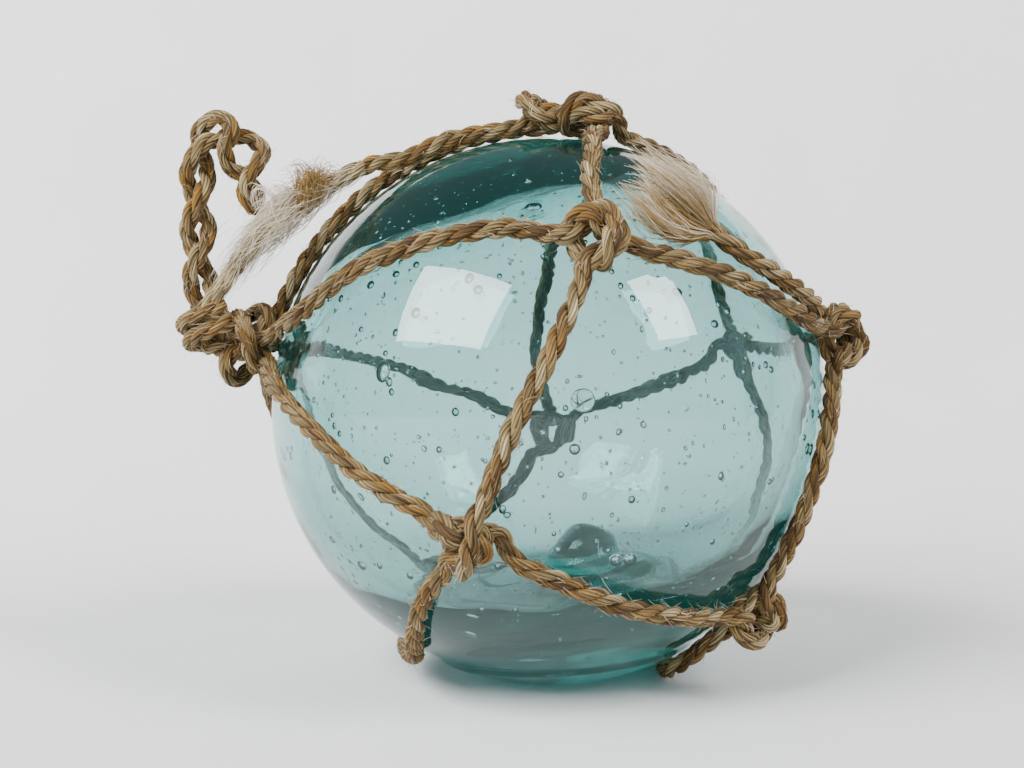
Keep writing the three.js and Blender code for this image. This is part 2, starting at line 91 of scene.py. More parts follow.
# Twine on the ball between two knots, with the directions that it passes
RUNS: dict[tuple[str, str], list[Place]] = {
    ("collar", "brow"): [(-56, 18), (-43, 25), (-31, 29), (-20, 31.5), (-10, 32.5)],
    ("crown", "brow"): [(14, 57), (9, 46)],
    ("brow", "front"): [(-1, 10), (-7, -2)],
    ("brow", "right"): [(22, 27), (34, 24), (46, 20), (58, 16.5)],
    ("collar", "front"): [(-61, 4), (-47, -3), (-35, -10.5)],
    ("front", "foot_right"): [(1, -29), (18, -36), (36, -39.5)],
    ("front", "foot_left"): [(-28, -34), (-38, -45), (-52, -55), (-78, -59), (-107, -57)],
    ("right", "foot_right"): [(62, -3), (57, -18)],
    ("foot_right", "foot_left"): [
        (59, -54), (59, -60.5), (68, -64.3), (88, -65), (115, -65), (145, -64), (172, -61), (-159, -56)],
    ("collar", "crown"): [(-82, 30), (-81, 46), (-78, 59), (-70, 70), (-40, 77)],
    ("crown", "back_right"): [(78, 64), (100, 50), (116, 34)],
    ("crown", "back"): [(160, 68), (174, 52), (179, 34), (-179, 14)],
    ("collar", "back"): [(-101, 14), (-122, 12), (-143, 8), (-163, 2)],
    ("back", "back_right"): [(160, 1), (141, 7)],
    ("back", "foot_left"): [(-174, -20), (-165, -29), (-153, -39)],
    ("back_right", "foot_right"): [(110, -5), (104, -16), (98, -29), (83, -39)],
    ("back_right", "right"): [(99, 13.5)],
    ("collar", "foot_left"): [(-96, 0), (-108, -12), (-114, -26), (-122, -37)],
}

# The order in which each length of twine passes the knots
COURSES: dict[str, list[str]] = {
    "net_long_course": [
        "collar", "brow", "front", "foot_right", "right", "brow", "crown", "back_right", "back",
        "foot_left", "foot_right", "back_right", "right", "tail"],
    "net_low_course": ["collar", "front", "foot_left", "collar"],
    "net_back_course": ["collar", "back", "crown", "collar"],
}

CROWN_TIE = [(30, 76), (-4, 77), (-24, 76), (-46, 71), (-59, 65), (-66, 57.5), (-70, 51)]
TIE_LIFTS = [0.9, 0.9, 0.15, 0.19, 0.33, 0.4, 1.18]
TIE_SAG_MM = (-1.6, -1.2, 1.8)
TIE_END = (-0.1, 0.95, 0.9)
TAIL = [(62, 19.8), (55, 22), (47, 25), (41, 27.6), (36.5, 30.3), (33, 33)]
TAIL_LIFT = 0.25
TAIL_GAP = 1.3 * MM
TASSEL_TIP = (14, 42)
TASSEL_LIFT = 4.75 * MM
TAIL_OPENING = 8 * MM

# Shape of a net knot in twine diameters: along the ball, across it, and off it
KNOT_REACH = 2.5
BIGHT = [
    (-1.2, 0.75, 0.6), (0, 0.85, 0.9), (0.8, 0.5, 0.9), (0.8, -0.5, 0.9), (0, -0.85, 0.9),
    (-1.2, -0.75, 0.6)]
HITCH = [
    (1.3, -0.2, 0.05), (0.4, 0.1, 0.5), (-0.2, 0.7, 1.7), (-0.75, 1.3, 0.9), (-1.05, 0.9, 0.1),
    (-1.15, 0, 0.02), (-1.05, -0.9, 0.1), (-0.7, -1.3, 0.9), (-0.1, -0.75, 1.7), (0.45, 0.1, 1.5),
    (0.8, 0.9, 1.2)]

LOOP_ROUTE_MM = [
    (0, 0, 0), (-0.93, 0, 2.85), (-1.2, 0.1, 5.6), (-1.4, 0.3, 10.5), (-1.5, 0.3, 16.8),
    (-1.3, 0.1, 21.6), (-0.4, -0.2, 24.7), (2.4, -0.4, 26), (4.7, -0.6, 25), (5.8, -0.8, 21.6),
    (6.4, -1, 18.6), (6.8, -1.2, 16.4)]


class Tone(Enum):
    """What a strand is mostly spun from."""

    GOLDEN = 0.2
    PALE = 0.66
    BLEACHED = 0.97


USUAL_TONES = (Tone.GOLDEN, Tone.GOLDEN, Tone.PALE)
TAIL_TONES = (Tone.GOLDEN, Tone.PALE, Tone.PALE)
PALE_TONES = (Tone.PALE, Tone.BLEACHED, Tone.BLEACHED)


def smoothstep(low: float, high: float, value: np.ndarray | float) -> np.ndarray | float:
    """Returns 0 below low, 1 above high, and an eased value between."""
    share = np.clip((np.asarray(value) - low) / (high - low), 0.0, 1.0)
    return share * share * (3 - 2 * share)


def unit(vectors: np.ndarray) -> np.ndarray:
    """Returns the vectors at length one."""
    return vectors / np.linalg.norm(vectors, axis=-1, keepdims=True)


def direction(at: Place) -> np.ndarray:
    """Turns an azimuth and an elevation into a direction.

    Args:
        at: azimuth and elevation in degrees.

    Returns:
        The unit vector in that direction.
    """
    azimuth, elevation = math.radians(at[0]), math.radians(at[1])
    level = math.cos(elevation)
    return np.array([math.sin(azimuth) * level, -math.cos(azimuth) * level, math.sin(elevation)])


def resample(points: np.ndarray, spacing: float) -> np.ndarray:
    """Spreads points evenly along a line.

    Args:
        points: corners of the line.
        spacing: distance wanted between the new points.

    Returns:
        The new points, both ends kept.
    """
    along = np.concatenate([[0.0], np.cumsum(np.linalg.norm(np.diff(points, axis=0), axis=1))])
    count = max(3, round(along[-1] / spacing))
    wanted = np.linspace(0.0, along[-1], count + 1)
    return np.column_stack([np.interp(wanted, along, points[:, axis]) for axis in range(3)])


def length_of(points: np.ndarray) -> float:
    """Returns the length of a line of points."""
    return float(np.linalg.norm(np.diff(points, axis=0), axis=1).sum())


def between(p: np.ndarray, q: np.ndarray, start: float, end: float, t: np.ndarray) -> np.ndarray:
    """Mixes two points by where the times t lie between two others."""
    return ((end - t) * p + (t - start) * q) / (end - start)


def smooth_line(points: list[np.ndarray] | np.ndarray, spacing: float) -> np.ndarray:
    """Runs a centripetal Catmull-Rom curve through points.

    Args:
        points: what the curve passes through.
        spacing: distance between the points returned.

    Returns:
        Evenly spaced points on the curve.
    """
    corners = np.asarray(points, dtype=float)
    corners = np.vstack([2 * corners[0] - corners[1], corners, 2 * corners[-1] - corners[-2]])
    shares = np.linspace(0.0, 1.0, 24, endpoint=False)[:, None]
    pieces = []
    for a, b, c, d in zip(corners, corners[1:], corners[2:], corners[3:]):
        hops = [max(np.linalg.norm(q - p), 1e-9) ** 0.5 for p, q in ((a, b), (b, c), (c, d))]
        t0, t1, t2, t3 = np.cumsum([0.0, *hops])
        t = t1 + (t2 - t1) * shares
        left = between(between(a, b, t0, t1, t), between(b, c, t1, t2, t), t0, t2, t)
        right = between(between(b, c, t1, t2, t), between(c, d, t2, t3, t), t1, t3, t)
        pieces.append(between(left, right, t1, t2, t))
    return resample(np.vstack([*pieces, corners[-2:-1]]), spacing)


def frames_along(points: np.ndarray) -> tuple[np.ndarray, np.ndarray, np.ndarray]:
    """Carries a pair of side directions along a line without twisting them.

    Args:
        points: evenly spaced points of the line.

    Returns:
        The tangents, and the two side directions at each point.
    """
    tangents = unit(np.gradient(points, axis=0))
    side = np.cross(tangents[0], [0.31, 0.2, 0.93])
    sides = np.empty_like(points)
    for i, tangent in enumerate(tangents):
        side = side - tangent * side.dot(tangent)
        side = side / np.linalg.norm(side)
        sides[i] = side
    return tangents, sides, np.cross(tangents, sides)


def mesh_object(name: str, mesh: bpy.types.Mesh) -> bpy.types.Object:
    """Links a mesh into the scene under its own name, smoothly shaded.

    Args:
        name: name of the object and its mesh.
        mesh: finished mesh.

    Returns:
        The object, linked into the scene.
    """
    mesh.name = name
    mesh.shade_smooth()
    made = bpy.data.objects.new(name, mesh)
    bpy.context.scene.collection.objects.link(made)
    return made


def bmesh_object(name: str, shape: bmesh.types.BMesh) -> bpy.types.Object:
    """Turns a finished bmesh into an object and frees it.

    Args:
        name: name of the object and its mesh.
        shape: bmesh to use up.

    Returns:
        The object, linked into the scene.
    """
    mesh = bpy.data.meshes.new(name)
    shape.to_mesh(mesh)
    shape.free()
    return mesh_object(name, mesh)


def curve_object(
        name: str, lines: list[np.ndarray], cyclic: bool = False, tilt: np.ndarray | None = None,
        radius: np.ndarray | list[np.ndarray] | None = None, depth: float = 0.0, caps: bool = False,
        ) -> bpy.types.Object:
    """Makes a curve object of straight-edged lines.

    Args:
        name: name of the object.
        lines: points of each line.
        cyclic: whether the lines are closed.
        tilt: turn of the outline at each point of the only line.
        radius: share of the thickness at each point, for the only line or for each.
        depth: radius of a plain round outline.
        caps: whether the ends are closed.

    Returns:
        The curve object, linked into the scene.
    """
    data = bpy.data.curves.new(name, "CURVE")
    data.dimensions = "3D"
    data.use_fill_caps = caps
    data.bevel_depth = depth
    data.bevel_resolution = 0
    for i, line in enumerate(lines):
        spline = data.splines.new("POLY")
        spline.points.add(len(line) - 1)
        spline.points.foreach_set("co", np.column_stack([line, np.ones(len(line))]).ravel())
        if tilt is not None:
            spline.points.foreach_set("tilt", tilt)
        if radius is not None:
            spline.points.foreach_set("radius", radius[i] if isinstance(radius, list) else radius)
        spline.use_cyclic_u = cyclic
    made = bpy.data.objects.new(name, data)
    bpy.context.scene.collection.objects.link(made)
    return made


def mesh_of(made: bpy.types.Object) -> bpy.types.Mesh:
    """Works out the mesh that a curve object makes.

    Args:
        made: curve object, linked into the scene.

    Returns:
        A new mesh of its own.
    """
    bpy.context.view_layer.update()
    evaluated = made.evaluated_get(bpy.context.evaluated_depsgraph_get())
    return bpy.data.meshes.new_from_object(evaluated)


def write_attribute(mesh: bpy.types.Mesh, name: str, kind: str, values: np.ndarray) -> None:
    """Stores a value for each corner point of a mesh.

    Args:
        mesh: mesh to mark.
        name: name of the attribute.
        kind: its type, a colour or a vector.
        values: one row for each corner point.
    """
    attribute = mesh.attributes.new(name, kind, "POINT")
    key = "color" if kind == "FLOAT_COLOR" else "vector"
    attribute.data.foreach_set(key, np.ascontiguousarray(values, dtype=np.float32).ravel())


@dataclass(frozen=True)
class BallForm:
    """Outside of the glass: a slightly flattened ball with a button of glass underneath.

    Its angles are in degrees.
    """

    side: float = 42.5 * MM
    up: float = 41.5 * MM
    seal_reach: float = 19.5 * MM
    seal_step: float = 0.7 * MM
    seal_crown: float = 4 * MM
    seal_tilt: float = 4.5
    seal_lip: float = 2.2
    flat_depth: float = 0.4 * MM

    @property
    def rim_depth(self) -> float:
        """Depth of the seal's rim below the middle, along the seal's axis."""
        return self.up * math.sqrt(1 - (self.seal_reach / self.side) ** 2) + self.seal_step

    @property
    def face_radius(self) -> float:
        """Radius of the seal's crowned face."""
        return (self.seal_reach**2 + self.seal_crown**2) / (2 * self.seal_crown)

    @property
    def axis(self) -> np.ndarray:
        """Direction in which the seal points."""
        tilt = math.radians(self.seal_tilt)
        return np.array([math.sin(tilt), 0.0, -math.cos(tilt)])

    @property
    def face_centre(self) -> np.ndarray:
        """Middle of the sphere that the seal's face is part of."""
        return self.axis * (self.rim_depth + self.seal_crown - self.face_radius)

    @property
    def rim_angle(self) -> float:
        """Angle between the seal's axis and its rim, from the middle of the ball."""
        return math.atan2(self.seal_reach, self.rim_depth)

    @property
    def centre(self) -> np.ndarray:
        """Middle of the ball."""
        return np.array([0.0, 0.0, self.face_radius - self.face_centre[2] - self.flat_depth])

    def plain(self, ways: np.ndarray) -> np.ndarray:
        """Returns how far the ball alone reaches along unit vectors."""
        level = (ways[..., 0] ** 2 + ways[..., 1] ** 2) / self.side**2
        return 1 / np.sqrt(level + ways[..., 2] ** 2 / self.up**2)

    def reach(self, ways: np.ndarray, lip: float = 8.0) -> np.ndarray:
        """Measures the glass with its seal.

        Args:
            ways: unit vectors from the middle of the ball.
            lip: how far past the rim the glass swells to meet it, in degrees.

        Returns:
            The distance to the outside along each vector.
        """
        plain = self.plain(ways)
        angle = np.arccos(np.clip(ways @ self.axis, -1, 1))
        along = ways @ self.face_centre
        inside = along**2 - self.face_centre @ self.face_centre + self.face_radius**2
        face = along + np.sqrt(inside)
        share = 1 - smoothstep(self.rim_angle, self.rim_angle + math.radians(lip), angle)
        edge = math.hypot(self.seal_reach, self.rim_depth)
        swollen = np.maximum(plain, plain + (edge - plain) * share)
        return np.where(angle < self.rim_angle, np.maximum(face, swollen), swollen)

    def seat(self, way: np.ndarray, lift: float = 0.0) -> np.ndarray:
        """Returns the middle of twine that lies on the glass along a unit vector."""
        return way * (self.reach(way) + TWINE / 2 + SEAT_GAP + lift) + self.centre

    def keep_off(self, points: np.ndarray, room: float) -> np.ndarray:
        """Moves points outwards where they come too near to the glass.

        Args:
            points: points to check.
            room: least distance from the glass.

        Returns:
            The points, all with that room.
        """
        out = points - self.centre
        far = np.linalg.norm(out, axis=1, keepdims=True)
        least = self.reach(out / far)[:, None] + room
        return self.centre + out * np.maximum(1.0, least / far)


BALL = BallForm()


class Nodes:
    """A node material under construction."""

    def __init__(self, name: str) -> None:
        """Starts a material that holds a Principled shader.

        Args:
            name: name of the material.
        """
        self.material = bpy.data.materials.new(name)
        self.material.use_nodes = True
        self.tree = self.material.node_tree
        self.shader = self.tree.nodes["Principled BSDF"]
        self.output = self.tree.nodes["Material Output"]

    def add(self, kind: str, settings: dict | None = None, **inputs: object) -> bpy.types.Node:
        """Adds a node.

        Args:
            kind: the node's type, without its ShaderNode prefix.
            settings: properties of the node itself.
            **inputs: value or socket for each input, by name with spaces as underscores.

        Returns:
            The new node.
        """
        node = self.tree.nodes.new("ShaderNode" + kind)
        for key, value in (settings or {}).items():
            setattr(node, key, value)
        for key, value in inputs.items():
            self.feed(node.inputs[key.replace("_", " ")], value)
        return node

    def feed(self, socket: bpy.types.NodeSocket, value: object) -> None:
        """Links a socket to another, or sets its plain value.

        Args:
            socket: input to feed.
            value: socket to link, or plain value.
        """
        if isinstance(value, bpy.types.NodeSocket):
            self.tree.links.new(value, socket)
        else:
            socket.default_value = value

    def math(self, operation: str, first: object, second: object) -> bpy.types.NodeSocket:
        """Adds a sum on two values.

        Args:
            operation: name of the sum, such as ADD.
            first: socket or number.
            second: socket or number.

        Returns:
            The result.
        """
        node = self.add("Math", {"operation": operation})
        self.feed(node.inputs[0], first)
        self.feed(node.inputs[1], second)
        return node.outputs[0]

    def swing(self, value: bpy.types.NodeSocket, reach: float) -> bpy.types.NodeSocket:
        """Returns a value that runs from 0 to 1 as one that swings about 0."""
        return self.math("MULTIPLY", self.math("SUBTRACT", value, 0.5), reach)

    def ramp(
            self, value: bpy.types.NodeSocket, stops: Sequence[tuple[float, Colour]]) -> bpy.types.NodeSocket:
        """Turns a value into a colour.

        Args:
            value: where on the ramp to read.
            stops: place and linear colour of each stop.

        Returns:
            The colour.
        """
        node = self.add("ValToRGB", Fac=value)
        elements = node.color_ramp.elements
        while len(elements) < len(stops):
            elements.new(0.5)
        for element, (place, colour) in zip(elements, stops):
            element.position = place
            element.color = (*colour, 1.0)
        return node.outputs["Color"]

    def mix(self, share: object, first: object, second: object, kind: str = "MIX") -> bpy.types.NodeSocket:
        """Mixes two colours.

        Args:
            share: how much of the second colour shows.
            first: socket or colour.
            second: socket or colour.
            kind: how they are mixed, such as MULTIPLY.

        Returns:
            The mixed colour.
        """
        node = self.add("Mix", {"data_type": "RGBA", "blend_type": kind})
        self.feed(node.inputs[0], share)
        self.feed(node.inputs[6], first)
        self.feed(node.inputs[7], second)
        return node.outputs[2]

    def noise(
            self, vector: bpy.types.NodeSocket, scale: Triple | float, detail: float) -> bpy.types.NodeSocket:
        """Adds a soft noise.

        Args:
            vector: where to read it.
            scale: its scale, for all axes or for each.
            detail: number of finer layers.

        Returns:
            The noise, from 0 to 1.
        """
        if isinstance(scale, tuple):
            vector = self.add("Mapping", Vector=vector, Scale=scale).outputs[0]
            scale = 1.0
        return self.add("TexNoise", Vector=vector, Scale=scale, Detail=detail).outputs["Fac"]


@dataclass(frozen=True)
class GlassFinish:
    """Clear sea-green glass: the tint comes from the depth of glass that light crosses.

    It also glows a faint teal through its whole volume: painted light that stands in for daylight scattered
    inside the glass, and shows most in the thickest parts.
    """

    surface: Colour = (0.88, 0.905, 0.905)
    tint: Colour = (0.0, 0.545, 0.52)
    density: float = 145.0
    painted_glow_colour: Colour = (0.85, 3.7, 3.4)
    ior: float = 1.47
    waves: Triple = (120.0, 120.0, 260.0)
    wave_height: float = 0.04 * MM

    def material(self) -> bpy.types.Material:
        """Builds the glass with every number directly on its shader.

        Returns:
            The glass.
        """
        nodes = Nodes("sea_green_glass")
        nodes.feed(nodes.shader.inputs["Base Color"], (*self.surface, 1.0))
        nodes.feed(nodes.shader.inputs["Roughness"], 0.0)
        nodes.feed(nodes.shader.inputs["IOR"], self.ior)
        nodes.feed(nodes.shader.inputs["Transmission Weight"], 1.0)
        depth = nodes.add("VolumeAbsorption", Color=(*self.tint, 1.0), Density=self.density)
        # Painted light: an emission in the glass volume gives the faint teal glow that stands in for
        # scattered daylight.
        painted_glow = nodes.add("Emission", Color=(*self.painted_glow_colour, 1.0), Strength=1.0)
        inside = nodes.add("AddShader")
        nodes.feed(inside.inputs[0], depth.outputs[0])
        nodes.feed(inside.inputs[1], painted_glow.outputs[0])
        nodes.feed(nodes.output.inputs["Volume"], inside.outputs[0])
        place = nodes.add("TexCoord").outputs["Object"]
        waves = nodes.noise(place, self.waves, 2.0)
        bump = nodes.add("Bump", Height=waves, Strength=0.25, Distance=self.wave_height)
        nodes.feed(nodes.shader.inputs["Normal"], bump.outputs[0])
        return nodes.material


@dataclass(frozen=True)
class TwineFinish:
    """Hairy plant-fibre twine: golden and pale yarns, streaked along their own run."""

    golden: tuple[tuple[float, Colour], ...] = (
        (0.34, (0.036, 0.015, 0.0)), (0.5, (0.16, 0.07, 0.0)), (0.7, (0.33, 0.165, 0.004)))
    pale: tuple[tuple[float, Colour], ...] = (
        (0.32, (0.085, 0.056, 0.01)), (0.5, (0.28, 0.205, 0.08)), (0.7, (0.62, 0.52, 0.33)))
    painted_groove_shade: Colour = (0.24, 0.17, 0.03)
    streaks: Triple = (11000.0, 11000.0, 380.0)
    patches: float = 190.0
    yarn_contrast: float = 0.34
    patch_contrast: float = 1.1
    thread_contrast: float = 0.9
    relief: float = 0.3 * MM

    def material(self) -> bpy.types.Material:
        """Builds the twine from its own attributes: tint, and the run of its fibres.

        Returns:
            The finish of the strands.
        """
        nodes = Nodes("net_twine")
        tint = nodes.add("Attribute", {"attribute_name": "tint"}).outputs["Color"]
        parts = nodes.add("SeparateColor", Color=tint)
        run = nodes.add("Attribute", {"attribute_name": "fibre_run"}).outputs["Vector"]
        place = nodes.add("TexCoord").outputs["Object"]
        streak = nodes.noise(run, self.streaks, 4.0)
        patch = nodes.noise(place, self.patches, 2.0)
        tone = nodes.math("ADD", streak, nodes.swing(parts.outputs[1], self.yarn_contrast))
        golden = nodes.ramp(tone, self.golden)
        pale = nodes.ramp(tone, self.pale)
        shift = nodes.swing(patch, self.patch_contrast)
        thread = nodes.swing(streak, self.thread_contrast)
        paleness = nodes.math("ADD", nodes.math("ADD", parts.outputs[0], shift), thread)
        colour = nodes.mix(paleness, golden, pale)
        # Painted shade: the colour is darkened towards the grooves between the yarns, where they shade each
        # other.
        painted_groove_shade = nodes.ramp(parts.outputs[2], [(0.0, self.painted_groove_shade), (0.75, (1.0, 1.0, 1.0))])
        colour = nodes.mix(1.0, colour, painted_groove_shade, "MULTIPLY")
        nodes.feed(nodes.shader.inputs["Base Color"], colour)
        nodes.feed(nodes.shader.inputs["Roughness"], 0.72)
        nodes.feed(nodes.shader.inputs["Specular IOR Level"], 0.35)
        nodes.feed(nodes.shader.inputs["Sheen Weight"], 0.05)
        bump = nodes.add("Bump", Height=streak, Strength=0.9, Distance=self.relief)
        nodes.feed(nodes.shader.inputs["Normal"], bump.outputs[0])
        return nodes.material


@dataclass(frozen=True)
class FibreFinish:
    """Single loose fibres, from golden to bleached."""

    golden: Colour = (0.36, 0.2, 0.02)
    bleached: Colour = (0.8, 0.74, 0.62)
    shaded: Colour = (0.34, 0.27, 0.15)

    def material(self) -> bpy.types.Material:
        """Builds the fibre from its tint, a little darker in places.

        Returns:
            The finish of hairs and loose fibres.
        """
        nodes = Nodes("loose_fibre")
        tint = nodes.add("Attribute", {"attribute_name": "tint"}).outputs["Color"]
        parts = nodes.add("SeparateColor", Color=tint)
        colour = nodes.mix(parts.outputs[0], (*self.golden, 1.0), (*self.bleached, 1.0))
        shade = nodes.ramp(parts.outputs[1], [(0.0, self.shaded), (1.0, (1.0, 1.0, 1.0))])
        nodes.feed(nodes.shader.inputs["Base Color"], nodes.mix(1.0, colour, shade, "MULTIPLY"))
        nodes.feed(nodes.shader.inputs["Roughness"], 0.6)
        nodes.feed(nodes.shader.inputs["Specular IOR Level"], 0.4)
        return nodes.material


# Large bubbles: place, half lengths along, across and through the wall in mm, and turn in radians
LARGE_BUBBLES: list[tuple[Place, Triple, float]] = [
    ((-32.5, 7.3), (1.4, 1.05, 0.7), 1.5), ((4.4, 2.3), (1.5, 1.5, 0.22), 0.0),
    ((3, -6), (0.7, 0.7, 0.5), 0.0), ((12, -27), (0.85, 0.85, 0.9), 0.0),
    ((-17, 24.5), (0.75, 0.6, 0.6), 1.3), ((-27, 18), (0.7, 0.75, 0.5), 0.2),
    ((-31, 5.5), (0.5, 0.65, 0.5), 0.3), ((-24, -48), (1.1, 0.7, 0.5), -0.6),
    ((-5, 41), (1.1, 0.7, 0.5), 0.1), ((31, 16), (0.6, 0.55, 0.5), 0.0),
    ((15, -27), (0.9, 0.9, 0.7), 0.0), ((-40, 24), (0.6, 0.6, 0.5), 0.0),
    ((-34, 26), (0.55, 0.5, 0.5), 0.3), ((24, 22), (0.55, 0.7, 0.5), 1.2)]

# Hairline cracks: place, half length in mm, and turn in radians
CRACKS: list[tuple[Place, float, float]] = [
    ((3.6, 2.6), 0.8, 2.3), ((5.0, 2.5), 0.7, 0.5), ((4.3, 1.5), 0.6, 1.4),
    ((16, -22), 1.5, 0.95), ((-60, -18), 1.1, 1.9), ((-58, -18.3), 1.1, 1.9),
    ((-56, -18.6), 1.1, 1.85), ((0.5, 12), 1.9, 1.5), ((26, -36), 2.2, 0.15)]


@dataclass(frozen=True)
class Scatter:
    """Bubbles that lie anywhere in the wall, with radii in millimetres."""

    count: int
    least: float
    most: float
    detail: int


@dataclass
class GlassFloat:
    """The ball: outer skin, uneven cavity, bubbles and cracks, all in one piece of glass."""

    segments: int = 144
    wall: float = 3.5 * MM
    top_way: Triple = (-0.29, 0.0, 0.957)
    top_depth: float = 33.4 * MM
    top_corner: float = 12.0
    floor_way: Triple = (0.16, 0.0, -0.987)
    floor_depth: float = 10.6 * MM
    floor_spread: float = 32.0
    dome_at: float = 5.7 * MM
    dome_reach: float = 5.6 * MM
    dome_height: float = 4.6 * MM
    tier_at: float = 8.2 * MM
    tier_reach: Pair = (12 * MM, 10.5 * MM)
    tier_height: float = 3.6 * MM
    lump_fades: Pair = (16 * MM, 24 * MM)
    ripples: Triple = (4.5, 4.5, 15.0)
    wave: float = 0.10 * MM
    cover: float = 0.15 * MM
    crack_width: float = 0.045 * MM
    crack_depth: float = 0.05 * MM
    scatters: tuple[Scatter, ...] = (
        Scatter(1500, 0.12, 0.25, 1), Scatter(420, 0.28, 0.5, 2), Scatter(30, 0.55, 0.78, 3))
    seal_streaks: int = 46
    batch: int = 40
    seed: int = 11

    def rings(self) -> np.ndarray:
        """Returns the polar angles of the rings, close together round the seal."""
        rim = BALL.rim_angle
        lip = math.radians(BALL.seal_lip)
        return np.concatenate([
            np.linspace(0, rim * 0.96, 26), np.linspace(rim * 0.975, rim + lip, 12),
            np.linspace(rim + lip * 1.3, rim + 5 * lip, 10), np.linspace(rim + 6 * lip, math.pi, 76)])

    def shell(self, angles: np.ndarray, axis: np.ndarray) -> bmesh.types.BMesh:
        """Spins a unit sphere whose rings lie at given angles from an axis.

        Args:
            angles: polar angle of each ring.
            axis: direction of the first pole.

        Returns:
            The closed sphere, with its faces outwards.
        """
        shape = bmesh.new()
        side = np.cross(axis, [0.0, 1.0, 0.0])
        side = side / np.linalg.norm(side)
        corners = [shape.verts.new(axis * math.cos(a) + side * math.sin(a)) for a in angles]
        edges = [shape.edges.new(pair) for pair in zip(corners, corners[1:])]
        bmesh.ops.spin(
            shape, geom=corners + edges, cent=(0, 0, 0), axis=tuple(axis), angle=math.tau,
            steps=self.segments, use_merge=True)
        bmesh.ops.remove_doubles(shape, verts=shape.verts, dist=1e-5)
        bmesh.ops.recalc_face_normals(shape, faces=shape.faces)
        return shape

    def place(self, shape: bmesh.types.BMesh, points: np.ndarray) -> None:
        """Moves the corners of a shape to new points."""
        for corner, point in zip(shape.verts, points):
            corner.co = point

    def ways_of(self, shape: bmesh.types.BMesh) -> np.ndarray:
        """Returns the unit vector of each corner of a sphere."""
        return unit(np.array([corner.co for corner in shape.verts]))

    def skin(self) -> bmesh.types.BMesh:
        """Makes the outside, with the flat spot that the float stands on.

        Returns:
            The closed skin, with its faces outwards.
        """
        shape = self.shell(self.rings(), BALL.axis)
        ways = self.ways_of(shape)
        points = ways * BALL.reach(ways, BALL.seal_lip)[:, None] + BALL.centre
        points[:, 2] = np.maximum(points[:, 2], 0.0)
        self.place(shape, points)
        return shape

    def cavity_reach(self, ways: np.ndarray) -> np.ndarray:
        """Measures the hollow before its lump.

        Args:
            ways: unit vectors from the middle of the ball.

        Returns:
            How far the hollow reaches along each vector.
        """
        down = np.degrees(np.arccos(np.clip(ways @ unit(np.array(self.floor_way)), -1, 1)))
        floor = self.floor_depth * np.exp(-(down / self.floor_spread) ** 2)
        sides = BALL.plain(ways) - self.wall - floor
        top = self.top_depth / np.maximum(ways @ unit(np.array(self.top_way)), 0.05)
        return (sides**-self.top_corner + top**-self.top_corner) ** (-1 / self.top_corner)

    def lump(self, points: np.ndarray) -> np.ndarray:
        """Measures the thick glass on the floor of the hollow.

        Args:
            points: points on the wall of the hollow.

        Returns:
            How far up each point is moved.
        """
        x, y, z = points.T
        off = np.hypot(x - self.dome_at, y) / self.dome_reach
        dome = np.sqrt(np.maximum(1 - off**2, 0.0)) ** 0.9
        spread = np.hypot((x - self.tier_at) / self.tier_reach[0], y / self.tier_reach[1])
        tier = 1 - smoothstep(0.45, 1.0, spread)
        near_floor = 1 - smoothstep(*self.lump_fades, z)
        return (self.dome_height * dome + self.tier_height * tier) * near_floor

    def cavity(self) -> bmesh.types.BMesh:
        """Makes the hollow inside, with its faces turned to the air in it.

        Returns:
            The closed hollow.
        """
        angles = np.concatenate([
            np.linspace(0, 0.62, 64), np.linspace(0.64, 2.3, 50), np.linspace(2.33, math.pi, 34)])
        shape = self.shell(angles, np.array([0.0, 0.0, -1.0]))
        ways = self.ways_of(shape)
        ripple = np.array([noise.noise(Vector(way)) for way in ways * self.ripples])
        points = ways * (self.cavity_reach(ways) + self.wave * ripple)[:, None] + BALL.centre
        points[:, 2] += self.lump(points)
        self.place(shape, points)
        bmesh.ops.reverse_faces(shape, faces=shape.faces)
        return shape

    def pocket(self, way: np.ndarray, share: float, sizes: Triple, turn: float) -> Matrix:
        """Fits a pocket of air inside the wall.

        Args:
            way: unit vector from the middle of the ball to the pocket.
            share: how deep it lies, from 0 at the hollow to 1 at the skin.
            sizes: half lengths along the surface, across it, and through the wall.
            turn: angle of its length from the level.

        Returns:
            The matrix that turns a unit sphere into the pocket.
        """
        inner = float(self.cavity_reach(way[None])[0])
        outer = float(BALL.reach(way))
        room = (outer - inner) / 2 - self.cover - 0.1 * MM
        depth = inner + (outer - inner) * share
        deep = min(sizes[2], room)
        depth = min(max(depth, inner + deep + self.cover), outer - deep - self.cover)
        out = Vector(way)
        level = Vector((0, 0, 1)).cross(out).normalized()
        rise = out.cross(level)
        along = level * math.cos(turn) + rise * math.sin(turn)
        across = out.cross(along)
        axes = Matrix((along * sizes[0], across * sizes[1], out * deep)).transposed().to_4x4()
        return Matrix.Translation(Vector(BALL.centre) + out * depth) @ axes

